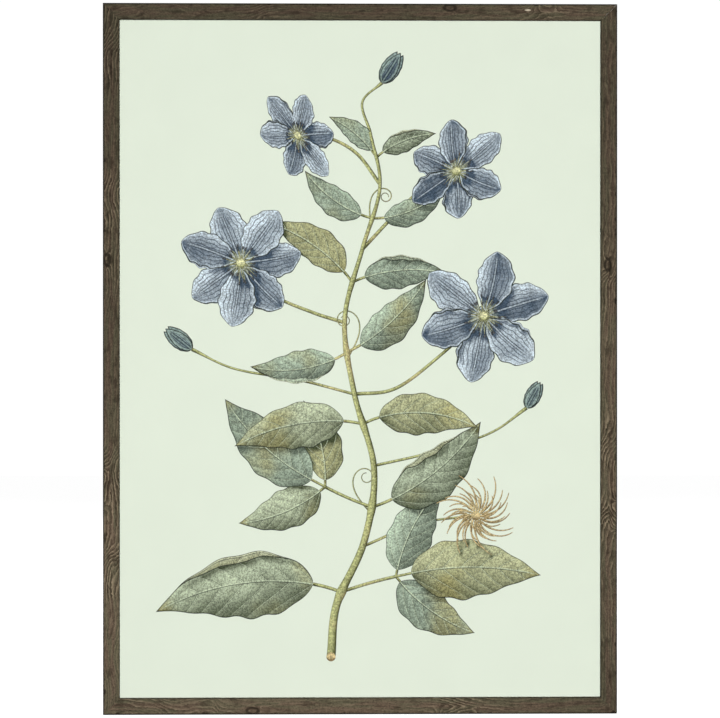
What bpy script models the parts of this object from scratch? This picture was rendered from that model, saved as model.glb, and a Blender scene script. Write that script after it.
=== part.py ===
"""Framed botanical print, 50 x 70 cm, behind glass in a dark stained wooden frame.

Run it with blender --background --python part.py, or from Blender's text editor.
The picture faces -Y, +X is to the right of someone looking at it, and +Z is up.
The origin is where a wall nail carries the frame: the middle notch of the upper
hanger, on the plane of the wall that the four bumpers touch.

Each rail has a frame of its own, in which the rail and its hardware are placed:
X runs along the rail, Y runs from the front of the frame towards the wall, and
Z runs from the rail's outer edge towards the middle of the picture.
"""

import math

import bmesh
import bpy
from mathutils import Matrix, Vector

MM = 0.001

# Driving dimensions, in millimetres
PRINT_WIDTH = 500.0
PRINT_HEIGHT = 700.0
PRINT_THICK = 0.3
LIP_OVERLAP = 5.0  # how far the frame's lip covers each edge of the print
PRINT_PLAY = 1.0  # between an edge of the print and the rebate's side
PANEL_PLAY = 0.5  # the same for the glass and the boards
RAIL_FACE = 17.0  # the rail's width seen from the front
RAIL_DEPTH = 16.0
GLASS_THICK = 2.0
FILLER_THICK = 4.0
BACKING_THICK = 3.0
INK_SPACE = 0.5  # between the back of the glass and the paper
CLEARANCE = 0.3  # between pieces that rest on each other
MITRE_GAP = 0.1  # the hairline between two rails at a corner
BUMPER_THICK = 3.5

# What follows from them
SIGHT_WIDTH = PRINT_WIDTH - 2 * LIP_OVERLAP
SIGHT_HEIGHT = PRINT_HEIGHT - 2 * LIP_OVERLAP
FRAME_WIDTH = SIGHT_WIDTH + 2 * RAIL_FACE
FRAME_HEIGHT = SIGHT_HEIGHT + 2 * RAIL_FACE
REBATE_WIDTH = LIP_OVERLAP + PRINT_PLAY
BACK_STRIP = RAIL_FACE - REBATE_WIDTH  # the rail's width behind the lip

# Depths from the front of the frame to the front of each layer
BACKING_FRONT = RAIL_DEPTH - BACKING_THICK
FILLER_FRONT = BACKING_FRONT - CLEARANCE - FILLER_THICK
PRINT_FRONT = FILLER_FRONT - CLEARANCE - PRINT_THICK
GLASS_FRONT = PRINT_FRONT - INK_SPACE - GLASS_THICK
LIP_THICK = GLASS_FRONT - CLEARANCE
HARDWARE_DEPTH = RAIL_DEPTH + CLEARANCE  # where fittings lie on the back of a rail
WALL_DEPTH = HARDWARE_DEPTH + BUMPER_THICK

# Edges of the rails
FRONT_OUTER_RADIUS = 1.2
FRONT_SIGHT_RADIUS = 0.9
BACK_RADIUS = 0.5

# How finely round shapes are divided, and how far a cutter stands out of what it cuts
ARC_STEPS = 4
ROUND_STEPS = 32
CUT_PAST = 1.0

# Turn buttons that hold the backing board, and the screws that they swivel on
BUTTON_THICK = 1.0
BUTTON_PIVOT_RADIUS = 5.0
BUTTON_TIP_RADIUS = 3.2
BUTTON_REACH = 17.0  # from the pivot to the centre of the tip's arc
BUTTON_INSET = 5.2  # from the rail's outer edge to the pivot
BUTTON_SPACING_SHORT = 280.0  # between the two buttons of the top or bottom rail
BUTTON_SPACING_LONG = 430.0  # between the two buttons of a side rail
SCREW_RADIUS = 1.5
SCREW_HEAD_RADIUS = 3.3
SCREW_HEAD_THICK = 1.5
SCREW_HEAD_RIM = 0.45  # height of the head's straight rim, under its rounded top
SCREW_HEAD_FLAT = 1.95  # radius of the flat middle of its top
SCREW_LENGTH = 10.0  # under the head
SCREW_POINT = 2.5
CROSS_SPAN = 3.6
CROSS_WIDTH = 0.9
CROSS_DEPTH = 0.9

# Sawtooth hangers, one for each way of hanging the frame
HANGER_SIDES = ("top", "left")
HANGER_LENGTH = 45.0
HANGER_WIDTH = 8.5
HANGER_THICK = 0.8
HANGER_TAB = 8.5
HANGER_RISE_LENGTH = 2.5
HANGER_RISE = 2.0
HANGER_INSET = 5.5  # from the rail's outer edge to the middle of the strip
TOOTH_PITCH = 2.4
TOOTH_DEPTH = 1.3
TOOTH_COUNT = 9
NAIL_RADIUS = 0.7
NAIL_HEAD_RADIUS = 1.7
NAIL_HEAD_THICK = 0.5
NAIL_HEAD_BEVEL = 0.2
NAIL_LENGTH = 7.0
NAIL_POINT = 1.5

# Angled nails that pull each mitre together, driven flush into the back
MITRE_NAIL_LEG = 6.5
MITRE_NAIL_THICK = 0.6
MITRE_NAIL_HEIGHT = 8.0
MITRE_NAIL_INSET = 3.0  # from both outer edges to the nail's corner

# Bumpers that keep the frame off the wall
BUMPER_RADIUS = 4.8
BUMPER_ROUNDING = 0.9
BUMPER_INSET = 5.5  # from the rail's outer edge to the bumper's centre
BUMPER_FROM_CORNER = 34.0

# The frame's outline, from the origin in the notch
TOP_Z = HANGER_INSET + HANGER_WIDTH / 2 - TOOTH_DEPTH
BOTTOM_Z = TOP_Z - FRAME_HEIGHT
MIDDLE_Z = (TOP_Z + BOTTOM_Z) / 2

# Colours as linear red, green and blue, with roughness and metallic values
DARK_WOOD = ((0.096, 0.074, 0.048), 0.62, 0.0)
CLEAR_GLASS = ((0.90, 0.95, 0.92), 0.04, 0.0)
PALE_GREEN_PAPER = ((0.760, 0.831, 0.701), 0.80, 0.0)
CARDBOARD = ((0.420, 0.290, 0.165), 0.90, 0.0)
FIBREBOARD = ((0.235, 0.135, 0.070), 0.70, 0.0)
ZINC_STEEL = ((0.560, 0.570, 0.580), 0.35, 0.9)
CLEAR_RUBBER = ((0.680, 0.690, 0.670), 0.45, 0.0)


def side_frame(inward, across):
    """The matrix of a rail's own frame: inward is the way to the picture's middle."""
    to_wall = Vector((0, 1, 0))
    along = to_wall.cross(inward)
    middle = Vector((0, 0, MIDDLE_Z)) - inward * across / 2
    middle.y = -WALL_DEPTH
    axes = Matrix((along, to_wall, inward)).transposed().to_4x4()
    return Matrix.Translation(middle * MM) @ axes


SIDES = {
    "top": (side_frame(Vector((0, 0, -1)), FRAME_HEIGHT), FRAME_WIDTH),
    "bottom": (side_frame(Vector((0, 0, 1)), FRAME_HEIGHT), FRAME_WIDTH),
    "left": (side_frame(Vector((1, 0, 0)), FRAME_WIDTH), FRAME_HEIGHT),
    "right": (side_frame(Vector((-1, 0, 0)), FRAME_WIDTH), FRAME_HEIGHT),
}


def clear_scene():
    for obj in list(bpy.data.objects):
        bpy.data.objects.remove(obj)


def make_material(name, look):
    colour, roughness, metallic = look
    material = bpy.data.materials.new(name)
    material.use_nodes = True
    shader = material.node_tree.nodes["Principled BSDF"]
    shader.inputs["Base Color"].default_value = (*colour, 1.0)
    shader.inputs["Roughness"].default_value = roughness
    shader.inputs["Metallic"].default_value = metallic
    material.diffuse_color = (*colour, 1.0)
    return material


def mesh_from(bm, name):
    """A mesh in metres from a bmesh in millimetres, with its faces pointing out."""
    bmesh.ops.scale(bm, vec=Vector((MM, MM, MM)), verts=bm.verts)
    bmesh.ops.recalc_face_normals(bm, faces=bm.faces)
    mesh = bpy.data.meshes.new(name)
    bm.to_mesh(mesh)
    bm.free()
    return mesh


def add_object(name, mesh, material=None, matrix=None):
    obj = bpy.data.objects.new(name, mesh)
    bpy.context.scene.collection.objects.link(obj)
    if material and not mesh.materials:
        mesh.materials.append(material)
    if matrix:
        obj.matrix_world = matrix
    return obj


def add_box(bm, low, high):
    made = bmesh.ops.create_cube(bm, size=1.0)["verts"]
    low, high = Vector(low), Vector(high)
    bmesh.ops.scale(bm, vec=high - low, verts=made)
    bmesh.ops.translate(bm, vec=(low + high) / 2, verts=made)


def add_prism(bm, outline, low_y, high_y):
    """Extrudes an outline of (x, z) points from one depth to another."""
    front = [bm.verts.new((x, low_y, z)) for x, z in outline]
    face = bm.faces.new(front)
    made = bmesh.ops.extrude_face_region(bm, geom=[face])["geom"]
    moved = [v for v in made if isinstance(v, bmesh.types.BMVert)]
    bmesh.ops.translate(bm, vec=(0, high_y - low_y, 0), verts=moved)


def add_turned(bm, profile, steps=ROUND_STEPS):
    """Turns a profile of (radius, y) points round the Y axis. Its ends lie on the axis."""
    rings = []
    for radius, y in profile:
        if radius == 0:
            rings.append([bm.verts.new((0, y, 0))])
            continue
        angles = [2 * math.pi * k / steps for k in range(steps)]
        ring = [(radius * math.cos(a), y, radius * math.sin(a)) for a in angles]
        rings.append([bm.verts.new(place) for place in ring])
    for first, second in zip(rings, rings[1:]):
        for k in range(steps):
            after = (k + 1) % steps
            corners = [first[k % len(first)], first[after % len(first)]]
            corners += [second[after % len(second)], second[k % len(second)]]
            bm.faces.new(list(dict.fromkeys(corners)))


def add_drill(bm, x, z, radius, low_y, high_y):
    """A round cutter along Y. It stands out past the high end."""
    before = set(bm.verts)
    end = high_y + CUT_PAST
    add_turned(bm, [(0, low_y), (radius, low_y), (radius, end), (0, end)])
    moved = [v for v in bm.verts if v not in before]
    bmesh.ops.translate(bm, vec=(x, 0, z), verts=moved)


def rounded_outline(corners):
    """An outline of (x, y) points from corners of (x, y, radius)."""
    points = []
    for k, (x, y, radius) in enumerate(corners):
        here = Vector((x, y))
        before = (Vector(corners[k - 1][:2]) - here).normalized()
        after = (Vector(corners[(k + 1) % len(corners)][:2]) - here).normalized()
        if radius == 0:
            points.append(here)
            continue
        half = before.angle(after) / 2
        centre = here + (before + after).normalized() * radius / math.sin(half)
        start = here + before * radius / math.tan(half) - centre
        turn = start.angle_signed(here + after * radius / math.tan(half) - centre)
        for step in range(ARC_STEPS + 1):
            turned = Matrix.Rotation(-turn * step / ARC_STEPS, 2) @ start
            points.append(centre + turned)
    return [(p.x, p.y) for p in points]


def shade_round(mesh, angle=35.0):
    mesh.shade_smooth()
    mesh.set_sharp_from_angle(angle=math.radians(angle))


def cut(obj, bm, name):
    """Cuts a hidden helper, drawn in obj's own frame, out of obj."""
    helper = add_object(name, mesh_from(bm, name), matrix=obj.matrix_world)
    helper.hide_render = True
    helper.display_type = "WIRE"
    boolean = obj.modifiers.new("cut", "BOOLEAN")
    boolean.operation = "DIFFERENCE"
    boolean.solver = "EXACT"
    boolean.object = helper


def applied_mesh(obj):
    """The object's mesh with its modifiers applied. The object and its helpers go."""
    bpy.context.view_layer.update()
    seen = obj.evaluated_get(bpy.context.evaluated_depsgraph_get())
    mesh = bpy.data.meshes.new_from_object(seen)
    helpers = [modifier.object for modifier in obj.modifiers]
    for done in [obj, *helpers]:
        bpy.data.objects.remove(done)
    return mesh


# Rails
def rail_profile():
    """The rail's section, as (distance from the outer edge, depth from the front)."""
    return rounded_outline(
        [
            (0, 0, FRONT_OUTER_RADIUS),
            (RAIL_FACE, 0, FRONT_SIGHT_RADIUS),
            (RAIL_FACE, LIP_THICK, 0),
            (BACK_STRIP, LIP_THICK, 0),
            (BACK_STRIP, RAIL_DEPTH, 0),
            (0, RAIL_DEPTH, BACK_RADIUS),
        ]
    )


def button_places(side):
    spacing = BUTTON_SPACING_SHORT if side in ("top", "bottom") else BUTTON_SPACING_LONG
    return {"a": -spacing / 2, "b": spacing / 2}


def mitre_nail_outline(half_length, grown):
    """The L of a mitre nail at the +X end of a rail, as (x, z) points, or of its slot.

    The corner of the L lies on the mitre, which is the line x = half_length - z, so
    the outline is the same in the frames of both rails that meet there.
    """
    low = MITRE_NAIL_INSET - grown
    inner = MITRE_NAIL_INSET + MITRE_NAIL_THICK + grown
    high = MITRE_NAIL_INSET + MITRE_NAIL_LEG + grown
    corners = [(high, low), (low, low), (low, high), (inner, high), (inner, inner), (high, inner)]
    return [(half_length - from_end, z) for from_end, z in corners]


def make_rail(side, material):
    matrix, length = SIDES[side]
    end_gap = MITRE_GAP / math.sqrt(2)
    bm = bmesh.new()
    rings = []
    for end in (-1, 1):
        half = length / 2 - end_gap
        rings.append([bm.verts.new((end * (half - a), d, a)) for a, d in rail_profile()])
    for k in range(len(rings[0])):
        after = (k + 1) % len(rings[0])
        bm.faces.new((rings[0][k], rings[0][after], rings[1][after], rings[1][k]))
    bm.faces.new(rings[0])
    bm.faces.new(rings[1])
    mesh = mesh_from(bm, "rail_" + side)
    shade_round(mesh)
    rail = add_object("rail_" + side, mesh, material, matrix)

    holes = bmesh.new()
    pilot_end = HARDWARE_DEPTH + BUTTON_THICK + CLEARANCE - SCREW_LENGTH - CLEARANCE
    for x in button_places(side).values():
        add_drill(holes, x, BUTTON_INSET, SCREW_RADIUS + CLEARANCE, pilot_end, RAIL_DEPTH)
    if side in HANGER_SIDES:
        nail_end = HARDWARE_DEPTH + HANGER_THICK + CLEARANCE - NAIL_LENGTH - CLEARANCE
        for x in nail_places():
            add_drill(holes, x, HANGER_INSET, NAIL_RADIUS + CLEARANCE, nail_end, RAIL_DEPTH)
    slot = mitre_nail_outline(length / 2, CLEARANCE)
    slot_low = RAIL_DEPTH - MITRE_NAIL_HEIGHT - 2 * CLEARANCE
    add_prism(holes, slot, slot_low, RAIL_DEPTH + CUT_PAST)
    add_prism(holes, [(-x, z) for x, z in slot], slot_low, RAIL_DEPTH + CUT_PAST)
    cut(rail, holes, "holes_" + side)


# Panels between the lip and the turn buttons
def make_panel(name, width, height, front, thick, material):
    bm = bmesh.new()
    low = (-width / 2, front - WALL_DEPTH, MIDDLE_Z - height / 2)
    high = (width / 2, front + thick - WALL_DEPTH, MIDDLE_Z + height / 2)
    add_box(bm, low, high)
    add_object(name, mesh_from(bm, name), material)


def make_panels(materials):
    opening_width = PRINT_WIDTH + 2 * PRINT_PLAY
    opening_height = PRINT_HEIGHT + 2 * PRINT_PLAY
    width = opening_width - 2 * PANEL_PLAY
    height = opening_height - 2 * PANEL_PLAY
    make_panel("glazing", width, height, GLASS_FRONT, GLASS_THICK, materials["glass"])
    make_panel("print_sheet", PRINT_WIDTH, PRINT_HEIGHT, PRINT_FRONT, PRINT_THICK, materials["paper"])
    make_panel("filler_board", width, height, FILLER_FRONT, FILLER_THICK, materials["cardboard"])
    make_panel("backing_board", width, height, BACKING_FRONT, BACKING_THICK, materials["fibreboard"])


# Turn buttons and their screws
def button_mesh():
    """A flat steel button with its pivot at the origin and its tip towards +Z."""
    lean = math.asin((BUTTON_PIVOT_RADIUS - BUTTON_TIP_RADIUS) / BUTTON_REACH)
    steps = ROUND_STEPS // 2
    outline = []
    for step in range(steps + 1):
        angle = lean - (math.pi + 2 * lean) * step / steps
        outline.append((BUTTON_PIVOT_RADIUS * math.cos(angle), BUTTON_PIVOT_RADIUS * math.sin(angle)))
    for step in range(steps + 1):
        angle = math.pi - lean - (math.pi - 2 * lean) * step / steps
        across = BUTTON_TIP_RADIUS * math.cos(angle)
        outline.append((across, BUTTON_REACH + BUTTON_TIP_RADIUS * math.sin(angle)))
    bm = bmesh.new()
    add_prism(bm, outline, 0, BUTTON_THICK)
    button = add_object("button", mesh_from(bm, "turn_button"))
    hole = bmesh.new()
    add_drill(hole, 0, 0, SCREW_RADIUS + CLEARANCE, -CUT_PAST, BUTTON_THICK)
    cut(button, hole, "pivot_hole")
    mesh = applied_mesh(button)
    shade_round(mesh)
    return mesh


def screw_mesh():
    """A pan head screw with a cross recess. The underside of its head is at the origin."""
    profile = [(0, -SCREW_LENGTH), (SCREW_RADIUS, SCREW_POINT - SCREW_LENGTH)]
    profile += [(SCREW_RADIUS, 0), (SCREW_HEAD_RADIUS, 0)]
    for step in range(ARC_STEPS + 1):
        angle = math.pi / 2 * step / ARC_STEPS
        radius = SCREW_HEAD_FLAT + (SCREW_HEAD_RADIUS - SCREW_HEAD_FLAT) * math.cos(angle)
        height = SCREW_HEAD_RIM + (SCREW_HEAD_THICK - SCREW_HEAD_RIM) * math.sin(angle)
        profile.append((radius, height))
    profile.append((0, SCREW_HEAD_THICK))
    bm = bmesh.new()
    add_turned(bm, profile)
    screw = add_object("screw", mesh_from(bm, "screw"))
    cross = bmesh.new()
    long, short = CROSS_SPAN / 2, CROSS_WIDTH / 2
    outline = [(short, short), (short, long), (-short, long), (-short, short)]
    outline += [(-long, short), (-long, -short), (-short, -short), (-short, -long)]
    outline += [(short, -long), (short, -short), (long, -short), (long, short)]
    add_prism(cross, outline, SCREW_HEAD_THICK - CROSS_DEPTH, SCREW_HEAD_THICK + CUT_PAST)
    cut(screw, cross, "cross_recess")
    mesh = applied_mesh(screw)
    shade_round(mesh)
    return mesh


def make_buttons(steel):
    button, screw = button_mesh(), screw_mesh()
    for side, (matrix, _) in SIDES.items():
        for end, x in button_places(side).items():
            pivot = Vector((x, HARDWARE_DEPTH, BUTTON_INSET))
            head = pivot + Vector((0, BUTTON_THICK + CLEARANCE, 0))
            name = side + "_" + end
            add_object("turn_button_" + name, button, steel, matrix @ Matrix.Translation(pivot * MM))
            add_object("screw_" + name, screw, steel, matrix @ Matrix.Translation(head * MM))


# Sawtooth hangers and their nails
def nail_places():
    return [end * (HANGER_LENGTH - HANGER_TAB) / 2 for end in (-1, 1)]


def hanger_height(x):
    """How far the strip stands off its end tabs at a distance x from its middle."""
    risen = (HANGER_LENGTH / 2 - HANGER_TAB - abs(x)) / HANGER_RISE_LENGTH
    return HANGER_RISE * min(max(risen, 0.0), 1.0)


def hanger_mesh():
    """The strip lies in X and Z, its teeth towards +Z and its tabs at depth 0."""
    half = HANGER_LENGTH / 2
    tab_end = half - HANGER_TAB
    cut_depths = dict.fromkeys([tab_end - HANGER_RISE_LENGTH, tab_end, half], 0.0)
    for step in range(1, TOOTH_COUNT + 1):
        cut_depths[step * TOOTH_PITCH / 2] = 0.0 if step % 2 else TOOTH_DEPTH
    stations = {-x: depth for x, depth in cut_depths.items()} | {0.0: TOOTH_DEPTH} | cut_depths
    bm = bmesh.new()
    rings = []
    for x in sorted(stations):
        y = hanger_height(x)
        low = -HANGER_WIDTH / 2
        high = HANGER_WIDTH / 2 - stations[x]
        section = [(x, y, low), (x, y, high), (x, y + HANGER_THICK, high), (x, y + HANGER_THICK, low)]
        rings.append([bm.verts.new(place) for place in section])
    for first, second in zip(rings, rings[1:]):
        for k in range(4):
            after = (k + 1) % 4
            bm.faces.new((first[k], first[after], second[after], second[k]))
    bm.faces.new(rings[0])
    bm.faces.new(rings[-1])
    strip = add_object("strip", mesh_from(bm, "hanger"))
    holes = bmesh.new()
    for x in nail_places():
        add_drill(holes, x, 0, NAIL_RADIUS + CLEARANCE, -CUT_PAST, HANGER_THICK)
    cut(strip, holes, "nail_holes")
    return applied_mesh(strip)


def nail_mesh():
    profile = [(0, -NAIL_LENGTH), (NAIL_RADIUS, NAIL_POINT - NAIL_LENGTH), (NAIL_RADIUS, 0)]
    profile += [(NAIL_HEAD_RADIUS, 0), (NAIL_HEAD_RADIUS, NAIL_HEAD_THICK - NAIL_HEAD_BEVEL)]
    profile += [(NAIL_HEAD_RADIUS - NAIL_HEAD_BEVEL, NAIL_HEAD_THICK), (0, NAIL_HEAD_THICK)]
    bm = bmesh.new()
    add_turned(bm, profile, steps=ROUND_STEPS // 2)
    mesh = mesh_from(bm, "hanger_nail")
    shade_round(mesh)
    return mesh


def make_hangers(steel):
    hanger, nail = hanger_mesh(), nail_mesh()
    for side in HANGER_SIDES:
        matrix = SIDES[side][0]
        seat = Vector((0, HARDWARE_DEPTH, HANGER_INSET))
        add_object("hanger_" + side, hanger, steel, matrix @ Matrix.Translation(seat * MM))
        for end, x in zip("ab", nail_places()):
            head = seat + Vector((x, HANGER_THICK + CLEARANCE, 0))
            name = "hanger_nail_" + side + "_" + end
            add_object(name, nail, steel, matrix @ Matrix.Translation(head * MM))


# Mitre nails and bumpers
def make_mitre_nails(steel):
    """One nail at the +X end of each rail, which is one at each corner of the frame."""
    corners = {"top": "top_left", "left": "bottom_left", "bottom": "bottom_right", "right": "top_right"}
    for side, corner in corners.items():
        matrix, length = SIDES[side]
        bm = bmesh.new()
        top = RAIL_DEPTH - CLEARANCE
        add_prism(bm, mitre_nail_outline(length / 2, 0), top - MITRE_NAIL_HEIGHT, top)
        name = "mitre_nail_" + corner
        add_object(name, mesh_from(bm, name), steel, matrix)


def make_bumpers(rubber):
    profile = [(0, 0), (BUMPER_RADIUS, 0)]
    for step in range(ARC_STEPS + 1):
        angle = math.pi / 2 * step / ARC_STEPS
        inwards = BUMPER_ROUNDING * (1 - math.cos(angle))
        backwards = BUMPER_ROUNDING * (1 - math.sin(angle))
        profile.append((BUMPER_RADIUS - inwards, BUMPER_THICK - backwards))
    profile.append((0, BUMPER_THICK))
    bm = bmesh.new()
    add_turned(bm, profile)
    mesh = mesh_from(bm, "bumper")
    shade_round(mesh)
    for side in ("top", "bottom"):
        matrix, length = SIDES[side]
        for end, way in (("a", -1), ("b", 1)):
            place = Vector((way * (length / 2 - BUMPER_FROM_CORNER), HARDWARE_DEPTH, BUMPER_INSET))
            name = "bumper_" + side + "_" + end
            add_object(name, mesh, rubber, matrix @ Matrix.Translation(place * MM))


def main():
    clear_scene()
    looks = {
        "wood": DARK_WOOD,
        "glass": CLEAR_GLASS,
        "paper": PALE_GREEN_PAPER,
        "cardboard": CARDBOARD,
        "fibreboard": FIBREBOARD,
        "steel": ZINC_STEEL,
        "rubber": CLEAR_RUBBER,
    }
    materials = {name: make_material(name, look) for name, look in looks.items()}
    for side in SIDES:
        make_rail(side, materials["wood"])
    make_panels(materials)
    make_buttons(materials["steel"])
    make_hangers(materials["steel"])
    make_mitre_nails(materials["steel"])
    make_bumpers(materials["rubber"])


main()
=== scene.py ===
"""The looks of a framed botanical print: its stained wood, glass, paper, plant and fittings.

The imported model's solids stay where they are. This file gives each of them a finish, draws the plant on the
sheet as thin films of ink, and sets up the floor, lights and camera.
"""

import math
from collections import namedtuple

import bmesh
import bpy
import numpy as np
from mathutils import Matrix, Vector


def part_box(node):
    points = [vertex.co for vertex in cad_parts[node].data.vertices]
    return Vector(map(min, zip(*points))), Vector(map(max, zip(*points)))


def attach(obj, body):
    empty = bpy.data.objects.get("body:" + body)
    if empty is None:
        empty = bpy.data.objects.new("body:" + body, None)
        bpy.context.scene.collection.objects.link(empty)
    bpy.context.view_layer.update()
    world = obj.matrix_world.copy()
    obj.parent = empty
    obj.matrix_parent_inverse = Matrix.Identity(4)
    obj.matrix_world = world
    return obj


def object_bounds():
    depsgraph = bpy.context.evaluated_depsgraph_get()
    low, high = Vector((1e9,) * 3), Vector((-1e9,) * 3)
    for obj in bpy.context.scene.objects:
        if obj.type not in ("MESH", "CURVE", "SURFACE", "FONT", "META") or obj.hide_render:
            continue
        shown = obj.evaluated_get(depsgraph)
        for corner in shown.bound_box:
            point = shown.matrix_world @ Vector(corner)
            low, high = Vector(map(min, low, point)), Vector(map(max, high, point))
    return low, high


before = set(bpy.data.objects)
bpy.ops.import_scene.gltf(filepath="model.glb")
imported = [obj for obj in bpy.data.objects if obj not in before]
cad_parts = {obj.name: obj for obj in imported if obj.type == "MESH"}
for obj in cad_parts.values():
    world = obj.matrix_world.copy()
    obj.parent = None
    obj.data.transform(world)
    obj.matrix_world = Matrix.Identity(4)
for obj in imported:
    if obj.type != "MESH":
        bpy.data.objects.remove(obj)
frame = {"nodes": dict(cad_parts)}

bl_info = {
    "name": "Framed Botanical Print",
    "version": (1, 0, 0),
    "blender": (4, 5, 0),
    "location": "3D View > Sidebar > Framed Print",
    "description": "Finishes a framed print and draws its plant",
    "category": "Object",
}

MM = 0.001
CAD_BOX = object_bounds()
SHEET_LOW, SHEET_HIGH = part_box("print_sheet")
SHEET_CENTRE = (SHEET_LOW + SHEET_HIGH) / 2
RAIL_LOW, RAIL_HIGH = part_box("rail_top")
SIDE_LOW, SIDE_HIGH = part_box("rail_left")
FRONT = RAIL_LOW.y
INK_ROOM = SHEET_LOW.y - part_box("glazing")[1].y


# Colours, as linear red, green and blue from the usual 0 to 255 values
def srgb(red, green, blue):
    def linear(value):
        value /= 255
        return value / 12.92 if value <= 0.04045 else ((value + 0.055) / 1.055) ** 2.4

    return tuple(linear(value) for value in (red, green, blue))


def colour_property(name, description, default):
    return bpy.props.FloatVectorProperty(
        name=name, description=description, subtype="COLOR", size=3, min=0, max=1, default=default
    )


def size_property(name, description, default, high=10.0):
    return bpy.props.FloatProperty(
        name=name, description=description, unit="LENGTH", min=0, max=high, default=default, precision=5
    )


def level_property(name, description, default, unit="NONE"):
    return bpy.props.FloatProperty(name=name, description=description, unit=unit, min=0, default=default)


class FrameLooks(bpy.types.PropertyGroup):
    """The stained rails."""

    brown: colour_property("Brown", "The stain on most of the wood", srgb(94, 80, 66))
    grey: colour_property("Olive Grey", "The stain where it dried greener", srgb(89, 84, 66))
    pale: colour_property("Pale Lines", "Raised early wood that the brush laid bare", srgb(144, 129, 106))
    dark: colour_property("Dark Grain", "Stain that stays in the late wood", srgb(41, 34, 25))
    # The colour that the rails darken to towards the outer and inner edges of their faces, and in their knots
    # and glue
    arris: colour_property("Arris", "Stain gathered along the edges", srgb(28, 23, 16))
    nick: colour_property("Nick", "Bare wood in the chip on the top rail", srgb(204, 192, 168))
    arris_width: size_property("Arris Width", "How far the dark edge reaches", 1.35 * MM)
    ring_width: size_property("Ring Width", "Distance between the tree's rings on a face", 3.6 * MM)
    relief: size_property("Grain Relief", "Depth of the brushed grain", 0.12 * MM)


class PlateLooks(bpy.types.PropertyGroup):
    """The sheet of paper and the plant printed on it."""

    paper: colour_property("Paper", "The sheet's pale green", srgb(229, 236, 220))
    leaf_light: colour_property("Leaf Light", "Sage of the lit side of a leaf", srgb(192, 202, 174))
    leaf_deep: colour_property("Leaf Deep", "Olive of its shadow side", srgb(68, 75, 50))
    leaf_warm: colour_property("Leaf Warm", "Yellow and tan where a leaf ages", srgb(178, 168, 106))
    leaf_cool: colour_property("Leaf Cool", "Blue green of a young leaf", srgb(184, 203, 184))
    under_light: colour_property("Underside Light", "Pale underside of a leaf", srgb(204, 207, 176))
    under_deep: colour_property("Underside Deep", "Its shadow", srgb(142, 142, 104))
    petal_light: colour_property("Petal Light", "Palest blue of a petal", srgb(204, 215, 223))
    petal_deep: colour_property("Petal Deep", "Slate blue at its ribs", srgb(70, 84, 100))
    petal_back: colour_property("Petal Back", "Grey green outside of a bud", srgb(150, 168, 160))
    stem_light: colour_property("Stem Light", "Lit side of a stem", srgb(178, 180, 126))
    stem_deep: colour_property("Stem Deep", "Its shadow side", srgb(80, 82, 50))
    tan_light: colour_property("Tan Light", "Dry plumes and bark", srgb(208, 188, 140))
    tan_deep: colour_property("Tan Deep", "Their shadow", srgb(130, 110, 76))
    stamen: colour_property("Stamen", "Cream of the filaments", srgb(214, 212, 168))
    anther: colour_property("Anther", "Dark tips of the stamens", srgb(84, 84, 88))
    line: colour_property("Engraved Line", "The plate's dark line", srgb(48, 52, 46))
    film: size_property("Film Step", "How much higher each layer of ink lies", 0.018 * MM, high=0.05 * MM)


class BackLooks(bpy.types.PropertyGroup):
    """What is behind the print: boards, steel and rubber."""

    board: colour_property("Backing Board", "Raw fibreboard", srgb(150, 116, 82))
    card: colour_property("Filler Card", "Raw brown card", srgb(172, 142, 106))
    fibre: colour_property("Fibre", "Dark fibres in both boards", srgb(104, 76, 50))
    steel: colour_property("Zinc Steel", "Plated buttons, screws and hangers", srgb(180, 183, 186))
    rubber: colour_property("Rubber", "Clear soft bumpers", srgb(214, 214, 208))


class StageLooks(bpy.types.PropertyGroup):
    """Floor and lights."""

    floor: colour_property("Floor", "The plain pale floor", (0.92, 0.92, 0.92))
    floor_glow: level_property("Floor Glow", "How far the floor is lit up to white for the camera", 0.93)
    floor_size: size_property("Floor Size", "Length of each side of the floor", 12.0, high=100.0)
    lamp_distance: size_property("Lamp Distance", "From each softbox to the print", 3.2)
    front_power: level_property("Front Power", "Power of the softbox at the camera", 100.0, "POWER")
    side_power: level_property("Side Power", "Power of each softbox at the sides", 0.9, "POWER")
    back_power: level_property("Back Power", "Power of each softbox behind", 62.0, "POWER")
    sky: level_property("Fill", "Strength of the light from all round", 0.02)
    mirrored_sky: level_property("Mirrored Fill", "Brightness of what smooth surfaces mirror", 0.3)


# Node trees
def plug(tree, value, socket):
    """Puts a Value, a socket or a plain number or colour into an input."""
    if isinstance(value, Value):
        value = value.socket
    if isinstance(value, bpy.types.NodeSocket):
        tree.links.new(value, socket)
    elif isinstance(value, (tuple, list)) and socket.type == "RGBA" and len(value) == 3:
        socket.default_value = (*value, 1.0)
    else:
        socket.default_value = value


def add_node(tree, kind, inputs=None, **settings):
    node = tree.nodes.new("ShaderNode" + kind)
    for name, value in settings.items():
        setattr(node, name, value)
    for name, value in (inputs or {}).items():
        plug(tree, value, node.inputs[name])
    return node


def math_method(operation):
    """A method that puts a Value, and what the method is called with, into a Math node."""
    return lambda self, *others: self.math(operation, self, *others)


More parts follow.
